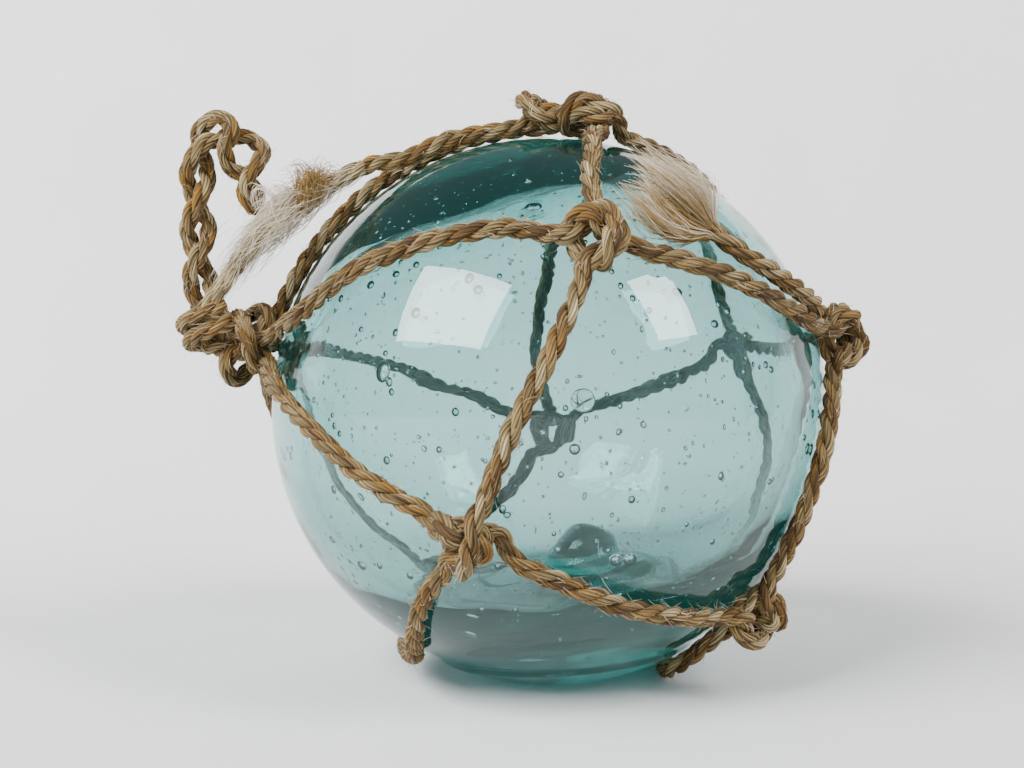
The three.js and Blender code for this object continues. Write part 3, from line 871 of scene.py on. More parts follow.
    def pockets(self) -> list[tuple[Matrix, int]]:
        """Lists the large and tiny bubbles and the hairline cracks.

        Returns:
            The matrix that shapes each from a unit sphere, and how finely it is divided.
        """
        rng = np.random.default_rng(self.seed)
        found = []
        for kind in self.scatters:
            for _ in range(kind.count):
                way = unit(rng.normal(size=3))
                size = rng.uniform(kind.least, kind.most) * MM
                stretch = rng.uniform(1.0, 1.35)
                half = (size * stretch, size, size * 0.85)
                pocket = self.pocket(way, rng.uniform(0.2, 0.8), half, rng.uniform(1.2, 1.9))
                found.append((pocket, kind.detail))
        for at, sizes, turn in LARGE_BUBBLES:
            half = tuple(size * MM for size in sizes)
            found.append((self.pocket(direction(at), 0.5, half, turn), 3))
        for at, span, turn in CRACKS:
            half = (span * MM, self.crack_width, self.crack_depth)
            found.append((self.pocket(direction(at), 0.8, half, turn), 2))
        for _ in range(self.seal_streaks):
            way = direction((rng.uniform(-30, 50), rng.uniform(-74, -58)))
            half = (
                rng.uniform(0.5, 2.6) * MM, rng.uniform(0.05, 0.12) * MM, rng.uniform(0.05, 0.15) * MM)
            found.append((self.pocket(way, rng.uniform(0.25, 0.85), half, rng.uniform(0.0, 0.32)), 2))
        return found

    def bubbles(self) -> list[bmesh.types.BMesh]:
        """Makes the pockets of air in small batches, which is far quicker than all at once.

        Returns:
            Closed pockets with their faces turned to the air in them.
        """
        found = self.pockets()
        shapes = []
        for start in range(0, len(found), self.batch):
            shape = bmesh.new()
            for matrix, detail in found[start:start + self.batch]:
                bmesh.ops.create_icosphere(shape, subdivisions=detail, radius=1.0, matrix=matrix)
            bmesh.ops.reverse_faces(shape, faces=shape.faces)
            shapes.append(shape)
        return shapes

    def build(self) -> bpy.types.Object:
        """Joins the skin, the hollow and the pockets of air into one piece of glass.

        Returns:
            The ball as one piece.
        """
        whole = self.skin()
        for part in (self.cavity(), *self.bubbles()):
            spare = bpy.data.meshes.new("spare")
            part.to_mesh(spare)
            part.free()
            whole.from_mesh(spare)
            bpy.data.meshes.remove(spare)
        return bmesh_object("glass_ball", whole)

    def dress(self, piece: bpy.types.Object, finish: GlassFinish) -> None:
        """Gives the ball its glass and its place in the model.

        Args:
            piece: the ball.
            finish: its glass.
        """
        piece.data.materials.append(finish.material())
        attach(piece, "root")
        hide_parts("glass_float")


@dataclass
class TwineMaker:
    """Lays three strands of spun yarn round a line, as left-handed twine."""

    pitch: float = 9.3 * MM
    strand_offset: float = 0.265
    strand_radius: float = 0.24
    yarns: int = 7
    points_per_yarn: int = 3
    yarn_relief: float = 0.12
    yarn_turn: float = -1.15
    tone_spread: float = 0.25
    uneven_step: float = 3 * MM
    uneven_turn: float = 0.16
    uneven_offset: float = 0.05
    uneven_girth: float = 0.04
    step: float = 0.53 * MM
    seed: int = 5
    rng: np.random.Generator = field(init=False)

    def __post_init__(self) -> None:
        """Seeds the small unevenness of the twine."""
        self.rng = np.random.default_rng(self.seed)

    @property
    def around(self) -> int:
        """Number of points round a strand."""
        return self.yarns * self.points_per_yarn

    def profile(self) -> bpy.types.Object:
        """Makes the outline of a strand, with one swelling for each yarn.

        Returns:
            The outline as a closed curve.
        """
        angles = np.linspace(0, math.tau, self.around, endpoint=False)
        swell = 1 - self.yarn_relief + self.yarn_relief * np.abs(np.sin(angles * self.yarns / 2)) * 1.6
        reach = self.strand_radius * TWINE * swell
        outline = np.column_stack([reach * np.cos(angles), reach * np.sin(angles), np.zeros(self.around)])
        return curve_object("strand_outline", [outline], cyclic=True)

    def strand(
            self, line: np.ndarray, phase: float, tone: Tone, thickness: np.ndarray,
            spread: np.ndarray) -> bpy.types.Mesh:
        """Makes one strand.

        Args:
            line: evenly spaced middle of the twine.
            phase: where round the twine the strand starts.
            tone: what it is mostly spun from.
            thickness: thickness of the strand at each point, as a share of the usual.
            spread: how far it stands from the middle at each point, as a share of the usual.

        Returns:
            The closed strand with its tint and the run of its fibres.
        """
        count = len(line)
        _, side, back = frames_along(line)
        along = np.linspace(0, length_of(line), count)
        marks = np.arange(0, along[-1] + 2 * self.uneven_step, self.uneven_step)
        uneven = np.interp(along, marks, self.rng.normal(0, 1, len(marks)))
        turn = phase - math.tau * along / self.pitch + self.uneven_turn * uneven
        off = (self.strand_offset * TWINE * spread * (1 + self.uneven_offset * uneven))[:, None]
        middle = line + off * (np.cos(turn)[:, None] * side + np.sin(turn)[:, None] * back)
        outline = self.profile()
        spin = self.yarn_turn * turn + self.rng.uniform(0, math.tau)
        girth = thickness * (1 + self.uneven_girth * uneven)
        made = curve_object("strand", [middle], tilt=spin, radius=girth, caps=True)
        made.data.bevel_mode = "OBJECT"
        made.data.bevel_object = outline
        mesh = mesh_of(made)
        bpy.data.objects.remove(made)
        bpy.data.objects.remove(outline)
        self.mark(mesh, count, along, tone)
        return mesh

    def mark(self, mesh: bpy.types.Mesh, rings: int, along: np.ndarray, tone: Tone) -> None:
        """Writes the tint and the run of the fibres on a strand.

        Args:
            mesh: the strand, whose caps at the end and the start come before its rings.
            rings: number of rings.
            along: distance of each ring from the start.
            tone: what the strand is mostly spun from.
        """
        ring = np.repeat(np.concatenate([[rings - 1, 0], np.arange(rings)]), self.around)
        spot = np.tile(np.arange(self.around), rings + 2)
        yarn = (spot + 1) // self.points_per_yarn % self.yarns
        pale = np.clip(tone.value + self.rng.normal(0, self.tone_spread, self.yarns), 0, 1)[yarn]
        shade = self.rng.uniform(0.1, 0.9, self.yarns)[yarn]
        angle = spot / self.around * math.tau
        # The crest runs from 0 in the grooves between yarns to 1 on their tops; the twine's finish uses it to
        # darken the grooves as painted shade.
        crest = np.abs(np.sin(angle * self.yarns / 2))
        reach = self.strand_radius * TWINE
        start = self.rng.uniform(0, 1)
        tint = np.column_stack([pale, shade, crest, np.ones(len(spot))])
        run = np.column_stack([reach * np.cos(angle), reach * np.sin(angle), along[ring] + start])
        write_attribute(mesh, "tint", "FLOAT_COLOR", tint)
        write_attribute(mesh, "fibre_run", "FLOAT_VECTOR", run)

    def rope(
            self, name: str, line: np.ndarray, tones: tuple[Tone, Tone, Tone] = USUAL_TONES,
            thickness: np.ndarray | None = None, spread: np.ndarray | None = None) -> bpy.types.Object:
        """Makes twine of three strands.

        Args:
            name: name of the piece.
            line: middle of the twine.
            tones: what each strand is spun from.
            thickness: thickness along the twine, as a share of the usual.
            spread: how open the strands lie along the twine, as a share of the usual.

        Returns:
            The twine as one mesh.
        """
        line = resample(line, self.step)
        shares = np.linspace(0, 1, len(line))
        thick, wide = (
            np.ones(len(line)) if given is None else np.interp(shares, np.linspace(0, 1, len(given)), given)
            for given in (thickness, spread))
        start = self.rng.uniform(0, math.tau)
        strands = [
            self.strand(line, start + math.tau * k / 3, tone, thick, wide) for k, tone in enumerate(tones)]
        shape = bmesh.new()
        for strand in strands:
            shape.from_mesh(strand)
            bpy.data.meshes.remove(strand)
        bmesh.ops.remove_doubles(shape, verts=shape.verts, dist=1e-7)
        return bmesh_object(name, shape)


@dataclass
class Fibres:
    """Gathers single fibres and turns them into one piece."""

    seed: int
    hair_root: float = 0.44 * TWINE
    hair_length: float = 2.2 * MM
    hair_paleness: float = 0.45
    tip: float = 0.35
    lines: list[np.ndarray] = field(default_factory=list)
    tints: list[Pair] = field(default_factory=list)
    rng: np.random.Generator = field(init=False)

    def __post_init__(self) -> None:
        """Seeds the lie of the fibres."""
        self.rng = np.random.default_rng(self.seed)

    def add(self, line: np.ndarray, paleness: float, shade: float) -> None:
        """Adds a fibre along a line."""
        self.lines.append(line)
        self.tints.append((paleness, shade))

    def fuzz(self, line: np.ndarray, count: int) -> None:
        """Adds short hairs that stand off twine.

        Args:
            line: middle of the twine.
            count: number of hairs.
        """
        tangents, side, back = frames_along(line)
        for _ in range(count):
            i = int(self.rng.integers(2, len(line) - 2))
            turn = self.rng.uniform(0, math.tau)
            out = math.cos(turn) * side[i] + math.sin(turn) * back[i]
            round_way = np.cross(tangents[i], out)
            way = tangents[i] * self.rng.choice([-1, 1]) + out * self.rng.uniform(0.12, 0.75)
            way = unit(way + round_way * self.rng.normal(0, 0.45))
            curl = unit(self.rng.normal(size=3)) * self.rng.uniform(0.1, 0.6)
            size = self.rng.uniform(0.3, 1.0) ** 1.4 * self.hair_length
            shares = np.linspace(0, 1, 4)[:, None]
            hair = line[i] + out * self.hair_root + size * (way * shares + curl * shares**2)
            hair = BALL.keep_off(hair, 0.06 * MM)
            hair[:, 2] = np.maximum(hair[:, 2], 0.1 * MM)
            pale = float(np.clip(self.rng.normal(self.hair_paleness, 0.3), 0, 1))
            self.add(hair, pale, self.rng.uniform(0.3, 1))

    def piece(self, name: str, thickness: float) -> bpy.types.Object:
        """Makes one mesh of all the fibres, each thinner towards its tip.

        Args:
            name: name of the piece.
            thickness: thickness of a fibre at its root.

        Returns:
            The fibres as one piece.
        """
        radii = [np.linspace(1.0, self.tip, len(line)) for line in self.lines]
        made = curve_object(name, self.lines, radius=radii, depth=thickness / 2)
        mesh = mesh_of(made)
        bpy.data.objects.remove(made)
        corners = len(mesh.vertices) // sum(len(line) for line in self.lines)
        tints = np.repeat(np.array(self.tints), [len(line) * corners for line in self.lines], axis=0)
        write_attribute(mesh, "tint", "FLOAT_COLOR", np.column_stack([tints, np.ones((len(tints), 2))]))
        shape = bmesh.new()
        shape.from_mesh(mesh)
        bpy.data.meshes.remove(mesh)
        open_edges = [edge for edge in shape.edges if edge.is_boundary]
        bmesh.ops.holes_fill(shape, edges=open_edges, sides=corners)
        bmesh.ops.recalc_face_normals(shape, faces=shape.faces)
        return bmesh_object(name, shape)


@dataclass(frozen=True)
class Spot:
    """A place on the ball with the directions that a knot there is laid out in."""

    out: np.ndarray
    along: np.ndarray
    across: np.ndarray

    def point(self, at: Triple) -> np.ndarray:
        """Finds a point of a knot.

        Args:
            at: place along, across and off the ball, in twine diameters.

        Returns:
            The point, seated on the glass where it is 0 off.
        """
        spread = TWINE / (BALL.side + TWINE / 2 + SEAT_GAP)
        way = unit(self.out + self.along * at[0] * spread + self.across * at[1] * spread)
        return BALL.seat(way, at[2] * TWINE)


def flat_on(way: np.ndarray, out: np.ndarray) -> np.ndarray:
    """Returns the unit direction of a way along the surface that faces out."""
    return unit(way - out * way.dot(out))


class Net:
    """Knots and runs of the net, and the lines that its lengths of twine follow."""

    def __init__(self) -> None:
        """Lays out the collar."""
        out = direction(COLLAR_AT)
        across = flat_on(np.array([0.0, 0.0, 1.0]), out)
        self.collar = Spot(out, np.cross(across, out), across)

    def passes(self, start: str, end: str) -> list[Place]:
        """Looks up the run between two knots.

        Args:
            start: knot that the run comes from.
            end: knot that it goes to.

        Returns:
            The directions that it passes, in order.
        """
        if (start, end) in RUNS:
            return RUNS[start, end]
        return RUNS[end, start][::-1]

    def leaving(self, name: str, neighbour: str) -> np.ndarray:
        """Returns the direction in which twine leaves a knot for a neighbour."""
        return direction(TAIL[0] if neighbour == "tail" else self.passes(name, neighbour)[0])

    def spot(self, name: str) -> Spot:
        """Places a knot.

        Args:
            name: the knot.

        Returns:
            Where it sits and how it is turned.
        """
        at, ends = KNOTS[name]
        out = direction(at)
        third, fourth = (flat_on(self.leaving(name, end), out) for end in ends[2:])
        along = -unit(third + fourth)
        return Spot(out, along, np.cross(out, along))

    def tip(self, name: str, neighbour: str) -> np.ndarray:
        """Finds where an end of a knot reaches the glass.

        Args:
            name: the knot.
            neighbour: knot that this end goes to.

        Returns:
            The middle of the twine there.
        """
        spot = self.spot(name)
        way = flat_on(self.leaving(name, neighbour), spot.out) * KNOT_REACH
        return spot.point((way.dot(spot.along), way.dot(spot.across), 0))

    def through(self, name: str, before: str, after: str) -> list[np.ndarray]:
        """Lists the points of twine that comes from one neighbour, is knotted and goes on.

        Args:
            name: the knot.
            before: neighbour that the twine comes from.
            after: neighbour that it goes to.

        Returns:
            Points from the near end of the knot to the far one.
        """
        spot = self.spot(name)
        ends = KNOTS[name][1]
        shape = HITCH if before in ends[:2] and after in ends[:2] else BIGHT
        inner = [spot.point(at) for at in shape]
        first = ends[0] if shape is HITCH else ends[2]
        if before != first:
            inner.reverse()
        return [self.tip(name, before), *inner, self.tip(name, after)]

    def climb(self, neighbour: str) -> list[np.ndarray]:
        """Lists the points by which twine leaves the collar for a neighbour.

        Args:
            neighbour: knot that the twine goes to.

        Returns:
            Points from the collar down to the glass.
        """
        way = flat_on(direction(RUNS["collar", neighbour][0]), self.collar.out)
        x, y = way.dot(self.collar.along), way.dot(self.collar.across)
        return [self.collar.point((x * r, y * r, lift)) for r, lift in ((0.35, 1.7), (1.1, 0.5), (2.3, 0))]

    def course(self, stops: list[str]) -> np.ndarray:
        """Follows a length of twine from stop to stop.

        Args:
            stops: names of the knots in order.

        Returns:
            The middle of the twine.
        """
        points: list[np.ndarray] = list(self.climb(stops[1]))
        for i in range(1, len(stops)):
            before, name = stops[i - 1], stops[i]
            if name == "tail":
                break
            points += [BALL.seat(direction(at)) for at in self.passes(before, name)]
            if name == "collar":
                points += self.climb(before)[::-1]
            else:
                points += self.through(name, before, stops[i + 1])
        return BALL.keep_off(smooth_line(points, LINE_STEP), TWINE / 2 + SEAT_GAP)

    def tail(self) -> np.ndarray:
        """Returns the middle of the loose end, on into its tassel."""
        points = [BALL.seat(direction(at), TWINE * TAIL_LIFT) for at in TAIL]
        tip = self.tip("right", "tail")
        start = tip + unit(points[0] - tip) * TAIL_GAP
        end = BALL.seat(direction(TASSEL_TIP), TASSEL_LIFT)
        onward = points[-1] + unit(end - points[-1]) * TAIL_OPENING
        return smooth_line([start, *points, onward], LINE_STEP)

    def collar_knot(self) -> np.ndarray:
        """Returns the line of the three-lobed knot at the collar."""
        turn = np.linspace(0, math.tau, 121) + 0.3
        reach = 1.35 + 0.75 * np.cos(3 * turn)
        lift = 1.3 + 0.8 * np.sin(3 * turn)
        places = zip(reach * np.cos(2 * turn), reach * np.sin(2 * turn), lift)
        return resample(np.array([self.collar.point(at) for at in places]), LINE_STEP)

    def crown_turn(self) -> np.ndarray:
        """Returns the line of the small turn beside the crown knot."""
        out = direction(CROWN_TURN_AT)
        along = flat_on(np.array([1.0, 0.0, 0.0]), out)
        spot = Spot(out, along, np.cross(out, along))
        turn = np.linspace(0, math.tau, 49)
        places = zip(0.9 * np.sin(turn) - 0.4, 1.5 * np.cos(turn), 1.0 + 0.75 * np.cos(turn + 1))
        return resample(np.array([spot.point(at) for at in places]), LINE_STEP)


@dataclass
class Lashing:
    """Turns of twine that gather the net beside the ball and hold the hanging loop."""

    net: Net
    out: float = 7.8 * MM
    up: float = 2.8 * MM
    turns: float = 1.75
    lean: float = 18.0
    radius: float = 1.55 * TWINE
    top: float = 1.4 * TWINE
    leg_spread: float = (TWINE + END_GAP) / 2

    @property
    def axis(self) -> np.ndarray:
        """Direction in which the legs go up."""
        return np.array([-math.sin(math.radians(self.lean)), 0.0, math.cos(math.radians(self.lean))])

    @property
    def side(self) -> np.ndarray:
        """Direction in which the two legs lie beside each other."""
        return np.array([math.cos(math.radians(self.lean)), 0.0, math.sin(math.radians(self.lean))])

    @property
    def centre(self) -> np.ndarray:
        """Middle of the lashing."""
        way = self.net.collar.out
        level = unit(np.array([way[0], way[1], 0.0]))
        return BALL.seat(way) + level * self.out + np.array([0.0, 0.0, self.up])

    def leg_start(self, side: float) -> np.ndarray:
        """Returns where one leg of the loop comes out of the lashing."""
        return self.centre + self.axis * self.top + self.side * side * self.leg_spread

    def wrap(self) -> np.ndarray:
        """Returns the line of the turns."""
        back = np.cross(self.axis, self.side)
        turn = np.linspace(-0.12, self.turns + 0.12, 90)
        points = [
            self.centre + self.radius * (self.side * math.cos(math.tau * t) + back * math.sin(math.tau * t))
            + self.axis * TWINE * (t - self.turns / 2) for t in turn]
        return resample(np.array(points), LINE_STEP)

    def legs(self) -> list[np.ndarray]:
        """Returns the lines of the two legs from the collar to the top of the lashing."""
        lines = []
        for side in (-1, 1):
            points = [
                self.net.collar.point((0.2, side * 0.5, 1.2)), self.net.collar.point((0.3, side * 0.5, 2.6)),
                self.centre + self.side * side * self.leg_spread - self.axis * TWINE,
                self.centre + self.side * side * self.leg_spread, self.leg_start(side)]
            lines.append(smooth_line(points, LINE_STEP))
        return lines

    def tie(self) -> tuple[np.ndarray, np.ndarray]:
        """Returns the line of the crown tie on the ball, and on from there to the lashing."""
        on_ball = [BALL.seat(direction(at), TWINE * lift) for at, lift in zip(CROWN_TIE, TIE_LIFTS)]
        front = np.cross(self.side, self.axis)
        end = self.centre + self.radius * (self.side * TIE_END[0] + front * TIE_END[1])
        end = end + self.axis * TWINE * TIE_END[2]
        leave = on_ball[-1]
        middle = leave + (end - leave) * 0.5 + np.array(TIE_SAG_MM) * MM
        whole = smooth_line([*on_ball, middle, end], LINE_STEP)
        nearest = int(np.argmin(np.linalg.norm(whole - leave, axis=1)))
        return whole[:nearest + 1], whole[nearest:]


@dataclass
class HangingLoop:
    """One length of twine that goes up, round a bight and down again, twisted on itself."""

    lashing: Lashing
    twist_length: float = 16 * MM
    straight: float = 2.5 * MM
    opening: float = 2.7 * MM
    bend: float = 1.1 * TWINE
    hairs: int = 330

    def line(self) -> np.ndarray:
        """Returns the middle of the twine from one leg to the other."""
        foot = self.lashing.centre + self.lashing.axis * (self.lashing.top + END_GAP)
        route = smooth_line(np.array(LOOP_ROUTE_MM) * MM + foot, 0.9 * MM)
        length = length_of(route)
        tangents = unit(np.gradient(route, axis=0))
        legs = []
        for side in (1, -1):
            points = []
            for i, (spot, way) in enumerate(zip(route, tangents)):
                share = i / (len(route) - 1)
                back = flat_on(np.array([0.0, 1.0, 0.0]), way)
                aside = np.cross(back, way)
                opened = smoothstep(0.72, 0.8, share) * (1 - smoothstep(0.88, 0.96, share))
                spread = self.lashing.leg_spread + (self.opening - self.lashing.leg_spread) * opened
                turn = math.tau * max(0.0, length * share - self.straight) / self.twist_length
                points.append(spot + side * spread * (aside * math.cos(turn) + back * math.sin(turn)))
            legs.append(points)
        tip = route[-1] + tangents[-1] * self.bend
        return smooth_line([*legs[0], tip, *legs[1][::-1]], LINE_STEP)

    def build(self, maker: TwineMaker) -> bpy.types.Object:
        """Args:
            maker: lays the twine.

        Returns:
            The loop as one piece.
        """
        line = self.line()
        piece = maker.rope("hanging_loop_twine", line)
        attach(piece, "root")
        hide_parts("hanging_loop")
        return piece


@dataclass
class FrayedTail:
    """The loose end that lies on the ball, and the tassel that it opens into."""

    net: Net
    fibres: int = 1250
    length: float = 14.5 * MM
    width: float = 11.5 * MM
    root_width: float = 0.42 * TWINE
    thickness: float = 0.12 * MM
    locks: int = 26
    lock_spread: float = 0.17
    golden_share: float = 0.8

    def tassel(self, root: np.ndarray, way: np.ndarray) -> bpy.types.Object:
        """Makes the brush of loose fibres.

        Args:
            root: where the twine opens.
            way: direction in which it points.

        Returns:
            The tassel as one piece.
        """
        bundle = Fibres(31)
        rng = bundle.rng
        out = unit(root - BALL.centre)
        across = np.cross(way, out)
        turns = rng.uniform(0, math.tau, self.locks)
        reaches = np.sqrt(rng.uniform(0, 1, self.locks))
        ways = np.column_stack([reaches * np.cos(turns), reaches * np.sin(turns)])
        lengths = rng.uniform(0.55, 1.0, self.locks)
        curls = unit(rng.normal(size=(self.locks, 3))) * rng.uniform(0.4, 2.6, (self.locks, 1)) * MM
        shades = rng.uniform(0.25, 1.0, self.locks)
        shares = np.linspace(0, 1, 8)[:, None]
        open_up = smoothstep(0.0, 0.6, shares) * (1 - 0.35 * smoothstep(0.6, 1.0, shares))
        for i in range(self.fibres):
            lock = i % self.locks
            x, y = ways[lock] + rng.normal(0, self.lock_spread, 2)
            size = self.length * lengths[lock] * rng.uniform(0.55, 1.06)
            line = root + way * shares * size
            line = line + across * x * (self.root_width + 0.4 * self.width * open_up)
            line = line + out * y * (self.root_width + 0.3 * self.width * open_up)
            stray = unit(rng.normal(size=3)) * rng.uniform(0, 1.5) * MM
            line = line + (curls[lock] + stray) * shares**2
            wiggle = np.sin(shares * rng.uniform(5, 12) + rng.uniform(0, 6)) * rng.uniform(0, 0.35) * MM
            line = BALL.keep_off(line + across * wiggle * shares, FIBRE_GAP)
            golden = x * self.low_side(across) > 0.25 and rng.uniform() < self.golden_share
            pale = rng.uniform(0.0, 0.3) if golden else rng.uniform(0.4, 1.0)
            bundle.add(line, pale, float(np.clip(shades[lock] + rng.normal(0, 0.2), 0, 1)))
        return bundle.piece("tassel_fibres", self.thickness)

    def low_side(self, across: np.ndarray) -> float:
        """Returns the sign of the side of the tassel that is turned down."""
        return -math.copysign(1.0, across[2])

    def build(self, maker: TwineMaker) -> tuple[bpy.types.Object, bpy.types.Object]:
        """Args:
            maker: lays the twine.

        Returns:
            The tail and the tassel.
        """
        line = self.net.tail()
        total = length_of(line)
        root_share = 1 - TAIL_OPENING / total
        shares = np.linspace(0, 1, 60)
        spread = 1 + 0.8 * smoothstep(root_share, 1.0, shares)
        thickness = 1 - 0.55 * smoothstep(root_share, 1.0, shares)
        tail = maker.rope("tail_twine", line, TAIL_TONES, thickness, spread)
        root = line[int(len(line) * root_share)]
        end = BALL.seat(direction(TASSEL_TIP), TASSEL_LIFT)
        tassel = self.tassel(root - unit(end - root) * MM, unit(end - root))
        for piece, node, slot in ((tail, "frayed_tail", "twine"), (tassel, "tail_tassel", "frayed_fibre")):
            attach(piece, "root")
            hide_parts(node)
        return tail, tassel


@dataclass
class FrayedStretch:
    """The bleached, hairy part of the crown tie between the ball and the lashing."""

    fibres: int = 900
    middle: float = 0.34
    curls: int = 380
    curl_way: Triple = (0.1, -0.15, 1.0)
    curl_root: Triple = (0.0, -1.3 * MM, -1.0 * MM)
    ribbons: int = 8
    ribbon_fibres: int = 14
    thickness: float = 0.11 * MM
    ball_gap: float = 0.1 * MM
    seed: int = 47

    def hair(self, line: np.ndarray, frames: tuple[np.ndarray, ...], rng: np.random.Generator) -> np.ndarray:
        """Lays one bleached fibre round a line, open in the middle of the stretch.

        Args:
            line: middle of the twine.
            frames: tangents and side directions along the line.
            rng: where its unevenness is drawn from.

        Returns:
            The points of the fibre.
        """
        _, side, back = frames
        count = len(line)
        sway = np.linspace(0, 1, 7)
        i = int(np.clip(rng.normal(self.middle, 0.19), 0.0, 0.9) * count)
        turn = rng.uniform(0, math.tau)
        j = min(count - 1, i + int(rng.uniform(8, 26)))
        spots = np.linspace(i, j, 7).astype(int)
        fullness = 0.3 + 0.5 * math.exp(-(((i / count - self.middle) / 0.26) ** 2))
        girth = rng.uniform(0.25, 1.0) * TWINE * fullness
        angle = turn + sway * rng.normal(0, 1.2)
        puff = 1 + rng.uniform(0, 0.9) * np.sin(sway * math.pi) + rng.uniform(0, 0.9) * sway**3
        ring = np.cos(angle)[:, None] * side[spots] + np.sin(angle)[:, None] * back[spots]
        return line[spots] + ring * girth * puff[:, None]

    def build(self, line: np.ndarray) -> bpy.types.Object:
        """Makes the wool-like fibres round a line.

        Args:
            line: middle of the twine, from the ball to the lashing.

        Returns:
            The fibres as one piece.
        """
        bundle = Fibres(self.seed)
        rng = bundle.rng
        frames = frames_along(line)
        count = len(line)
        for _ in range(self.fibres):
            hair = BALL.keep_off(self.hair(line, frames, rng), self.ball_gap)
            bundle.add(hair, rng.uniform(0.55, 1.0), rng.uniform(0.25, 1))
        up = np.array(self.curl_way)
        shares = np.linspace(0, 1, 9)[:, None]
        for _ in range(self.curls):
            start = line[int(count * rng.uniform(0.24, 0.33))] + self.curl_root + rng.normal(0, 0.55, 3) * MM
            size = rng.uniform(2.0, 5.4) * MM
            rise = unit(up + rng.normal(0, 0.17, 3))
            aside = unit(np.cross(rise, rng.normal(size=3)))
            hook = rng.uniform(0.1, 0.5)
            curve = start + size * (rise * np.sin(shares * 2.1) + aside * hook * (1 - np.cos(shares * 2.4)))
            curve = BALL.keep_off(curve, self.ball_gap)
            bundle.add(curve, rng.uniform(0.0, 0.2), rng.uniform(0.15, 0.9))
        for _ in range(self.ribbons):
            start = line[int(count * rng.uniform(0.3, 0.55))]
            rise = unit(up + rng.normal(0, 0.3, 3))
            aside = unit(np.array([-1.0, rng.normal(0, 0.4), rng.normal(0, 0.3)]))
            size = rng.uniform(2.4, 4.2) * MM
            arch = rise * np.sin(shares * 2.9) + aside * 0.5 * (1 - np.cos(shares * 2.9))
            for _ in range(self.ribbon_fibres):
                spread = rng.normal(0, 0.13, 3)
                curve = start + spread * MM + size * (arch + spread * shares)
                curve = BALL.keep_off(curve, self.ball_gap)
                bundle.add(curve, rng.uniform(0.9, 1.0), rng.uniform(0.7, 1))
        return bundle.piece("fray_fibres", self.thickness)


@dataclass(frozen=True)
class AreaLight:
    """A rectangular light that faces the float."""

    name: str
    at: Triple
    size: Pair
    power: float
    colour: Colour

    def hang(self, aim: Triple) -> None:
        """Hangs the light so that it faces a point.

        Args:
            aim: the point.
        """
        data = bpy.data.lights.new(self.name, "AREA")
        data.shape = "RECTANGLE"
        data.size, data.size_y = self.size
        data.energy = self.power
        data.color = self.colour
        light = bpy.data.objects.new(self.name, data)
        light.location = self.at
        light.rotation_euler = (Vector(aim) - Vector(self.at)).to_track_quat("-Z", "Y").to_euler()
        bpy.context.scene.collection.objects.link(light)


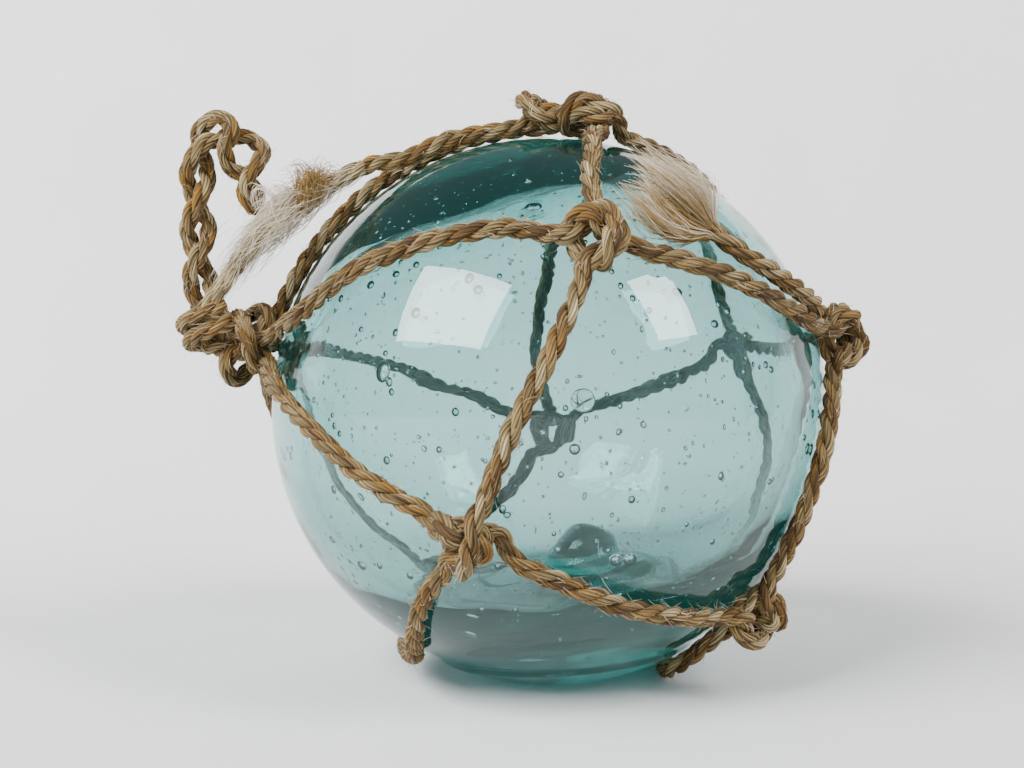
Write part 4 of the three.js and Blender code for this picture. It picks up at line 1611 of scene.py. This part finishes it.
@dataclass
class Studio:
    """Camera, lights, floor and backdrop."""

    distance: float = 187 * MM
    aside: float = -5.55 * MM
    height: float = 44.9 * MM
    lens: float = 41.79
    sweep_side: float = 2.2
    sweep_front: float = -1.6
    sweep_back: float = 0.085
    sweep_bend: float = 0.09
    sweep_top: Pair = (0.20, 0.24)
    paper_dark: Colour = (0.735, 0.73, 0.735)
    paper_light: Colour = (0.775, 0.77, 0.775)
    room_low: Colour = (0.92, 0.96, 1.0)
    room_high: Colour = (0.23, 0.24, 0.25)
    room_strength: float = 0.92
    lights: tuple[AreaLight, ...] = (
        AreaLight("window_light", (-0.52, -0.48, 0.60), (0.58, 0.46), 19.0, (0.97, 0.99, 1.0)),
        AreaLight("room_light", (0.75, -0.55, 0.75), (0.35, 0.5), 12.0, (1.0, 0.98, 0.96)))

    def camera(self) -> None:
        """Sets the camera level with the ball."""
        data = bpy.data.cameras.new("camera")
        data.sensor_width = 36.0
        data.lens = self.lens
        data.clip_start = 0.01
        camera = bpy.data.objects.new("camera", data)
        camera.location = (self.aside, -self.distance, self.height)
        camera.rotation_euler = (math.pi / 2, 0.0, 0.0)
        bpy.context.scene.collection.objects.link(camera)
        bpy.context.scene.camera = camera

    def sweep(self) -> bpy.types.Object:
        """Makes the floor that curves up into the backdrop.

        Returns:
            The sweep as one surface.
        """
        shape = bmesh.new()
        corners = [(self.sweep_front, 0.0), (self.sweep_back, 0.0)]
        corners += [
            (self.sweep_back + self.sweep_bend * math.sin(a), self.sweep_bend * (1 - math.cos(a)))
            for a in np.linspace(0.1, 1.45, 14)]
        corners.append(self.sweep_top)
        line = [shape.verts.new((-self.sweep_side, y, z)) for y, z in corners]
        edges = [shape.edges.new(pair) for pair in zip(line, line[1:])]
        swept = bmesh.ops.extrude_edge_only(shape, edges=edges)
        moved = [item for item in swept["geom"] if isinstance(item, bmesh.types.BMVert)]
        bmesh.ops.translate(shape, vec=(2 * self.sweep_side, 0, 0), verts=moved)
        bmesh.ops.recalc_face_normals(shape, faces=shape.faces)
        return bmesh_object("sweep", shape)

    def paper(self) -> bpy.types.Material:
        """Builds the pale matt surface of the sweep.

        Returns:
            The paper.
        """
        nodes = Nodes("pale_paper")
        place = nodes.add("TexCoord").outputs["Object"]
        cloud = nodes.noise(place, 22.0, 3.0)
        colour = nodes.ramp(cloud, [(0.3, self.paper_dark), (0.7, self.paper_light)])
        nodes.feed(nodes.shader.inputs["Base Color"], colour)
        nodes.feed(nodes.shader.inputs["Roughness"], 0.95)
        nodes.feed(nodes.shader.inputs["Specular IOR Level"], 0.1)
        return nodes.material

    def light_up(self) -> None:
        """Adds the sweep, the lights and the soft surrounding light."""
        sweep = self.sweep()
        sweep.data.materials.append(self.paper())
        for light in self.lights:
            light.hang((0.0, 0.0, 0.04))
        self.surrounding_light()

    def surrounding_light(self) -> None:
        """Lights the room softly from the sides, with a dark ceiling."""
        world = bpy.data.worlds.new("soft_room")
        world.use_nodes = True
        tree = world.node_tree
        place = tree.nodes.new("ShaderNodeTexCoord")
        height = tree.nodes.new("ShaderNodeSeparateXYZ")
        ramp = tree.nodes.new("ShaderNodeValToRGB")
        tree.links.new(place.outputs["Generated"], height.inputs[0])
        tree.links.new(height.outputs["Z"], ramp.inputs["Fac"])
        tree.links.new(ramp.outputs["Color"], tree.nodes["Background"].inputs["Color"])
        low, high = ramp.color_ramp.elements
        low.position, low.color = 0.3, (*self.room_low, 1.0)
        high.position, high.color = 0.62, (*self.room_high, 1.0)
        tree.nodes["Background"].inputs["Strength"].default_value = self.room_strength
        bpy.context.scene.world = world


def report(piece: bpy.types.Object) -> None:
    """Logs the name and the size of a finished piece."""
    log.info("%s: %d faces", piece.name, len(piece.data.polygons))


@dataclass
class NetTwine:
    """Every length of the net's twine, with its hairs and its frayed stretch."""

    net: Net
    lashing: Lashing
    hairs: Fibres
    hairs_per_mm: float = 3.9
    hair_thickness: float = 0.07 * MM

    def lines(self, on_ball: np.ndarray) -> dict[str, np.ndarray]:
        """Names the line of each length.

        Args:
            on_ball: the crown tie as far as it lies on the ball.

        Returns:
            The middle of the twine by the name of its piece.
        """
        lines = {name: self.net.course(stops) for name, stops in COURSES.items()}
        lines["net_crown_tie"] = on_ball
        lines["net_crown_turn"] = self.net.crown_turn()
        lines["net_collar_knot"] = self.net.collar_knot()
        lines["net_lashing"] = self.lashing.wrap()
        for number, leg in enumerate(self.lashing.legs(), start=1):
            lines[f"net_leg_{number}"] = leg
        return lines

    def build(self, maker: TwineMaker, twine: bpy.types.Material, fibre: bpy.types.Material) -> None:
        """Makes the net and dresses it.

        Args:
            maker: lays the twine.
            twine: finish of the twine.
            fibre: finish of the hairs and the loose fibres.
        """
        on_ball, to_lashing = self.lashing.tie()
        pieces = []
        for name, line in self.lines(on_ball).items():
            pieces.append(maker.rope(name, line))
            self.hairs.fuzz(line, int(length_of(line) / MM * self.hairs_per_mm))
        pieces.append(maker.rope("net_pale_stretch", to_lashing, PALE_TONES))
        loose = [self.hairs.piece("net_hairs", self.hair_thickness), FrayedStretch().build(to_lashing)]
        for group, finish in ((pieces, twine), (loose, fibre)):
            for piece in group:
                piece.data.materials.append(finish)
        for piece in pieces + loose:
            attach(piece, "root")
            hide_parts("net")
            report(piece)


def main() -> None:
    """Builds the camera and the cords, then the net, the glass and the studio."""
    logging.basicConfig(level=logging.INFO, format="%(message)s")
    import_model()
    studio = Studio()
    studio.camera()

    net = Net()
    lashing = Lashing(net)
    maker = TwineMaker()
    twine = TwineFinish().material()
    fibre = FibreFinish().material()

    loop = HangingLoop(lashing)
    loop_twine = loop.build(maker)
    tail_twine, tassel = FrayedTail(net).build(maker)
    for piece, finish in ((loop_twine, twine), (tail_twine, twine), (tassel, fibre)):
        piece.data.materials.append(finish)
        report(piece)

    hairs = Fibres(3)
    hairs.fuzz(loop.line(), loop.hairs)
    NetTwine(net, lashing, hairs).build(maker, twine, fibre)

    ball = GlassFloat()
    glass = ball.build()
    ball.dress(glass, GlassFinish())
    report(glass)

    studio.light_up()


if __name__ == "__main__":
    main()
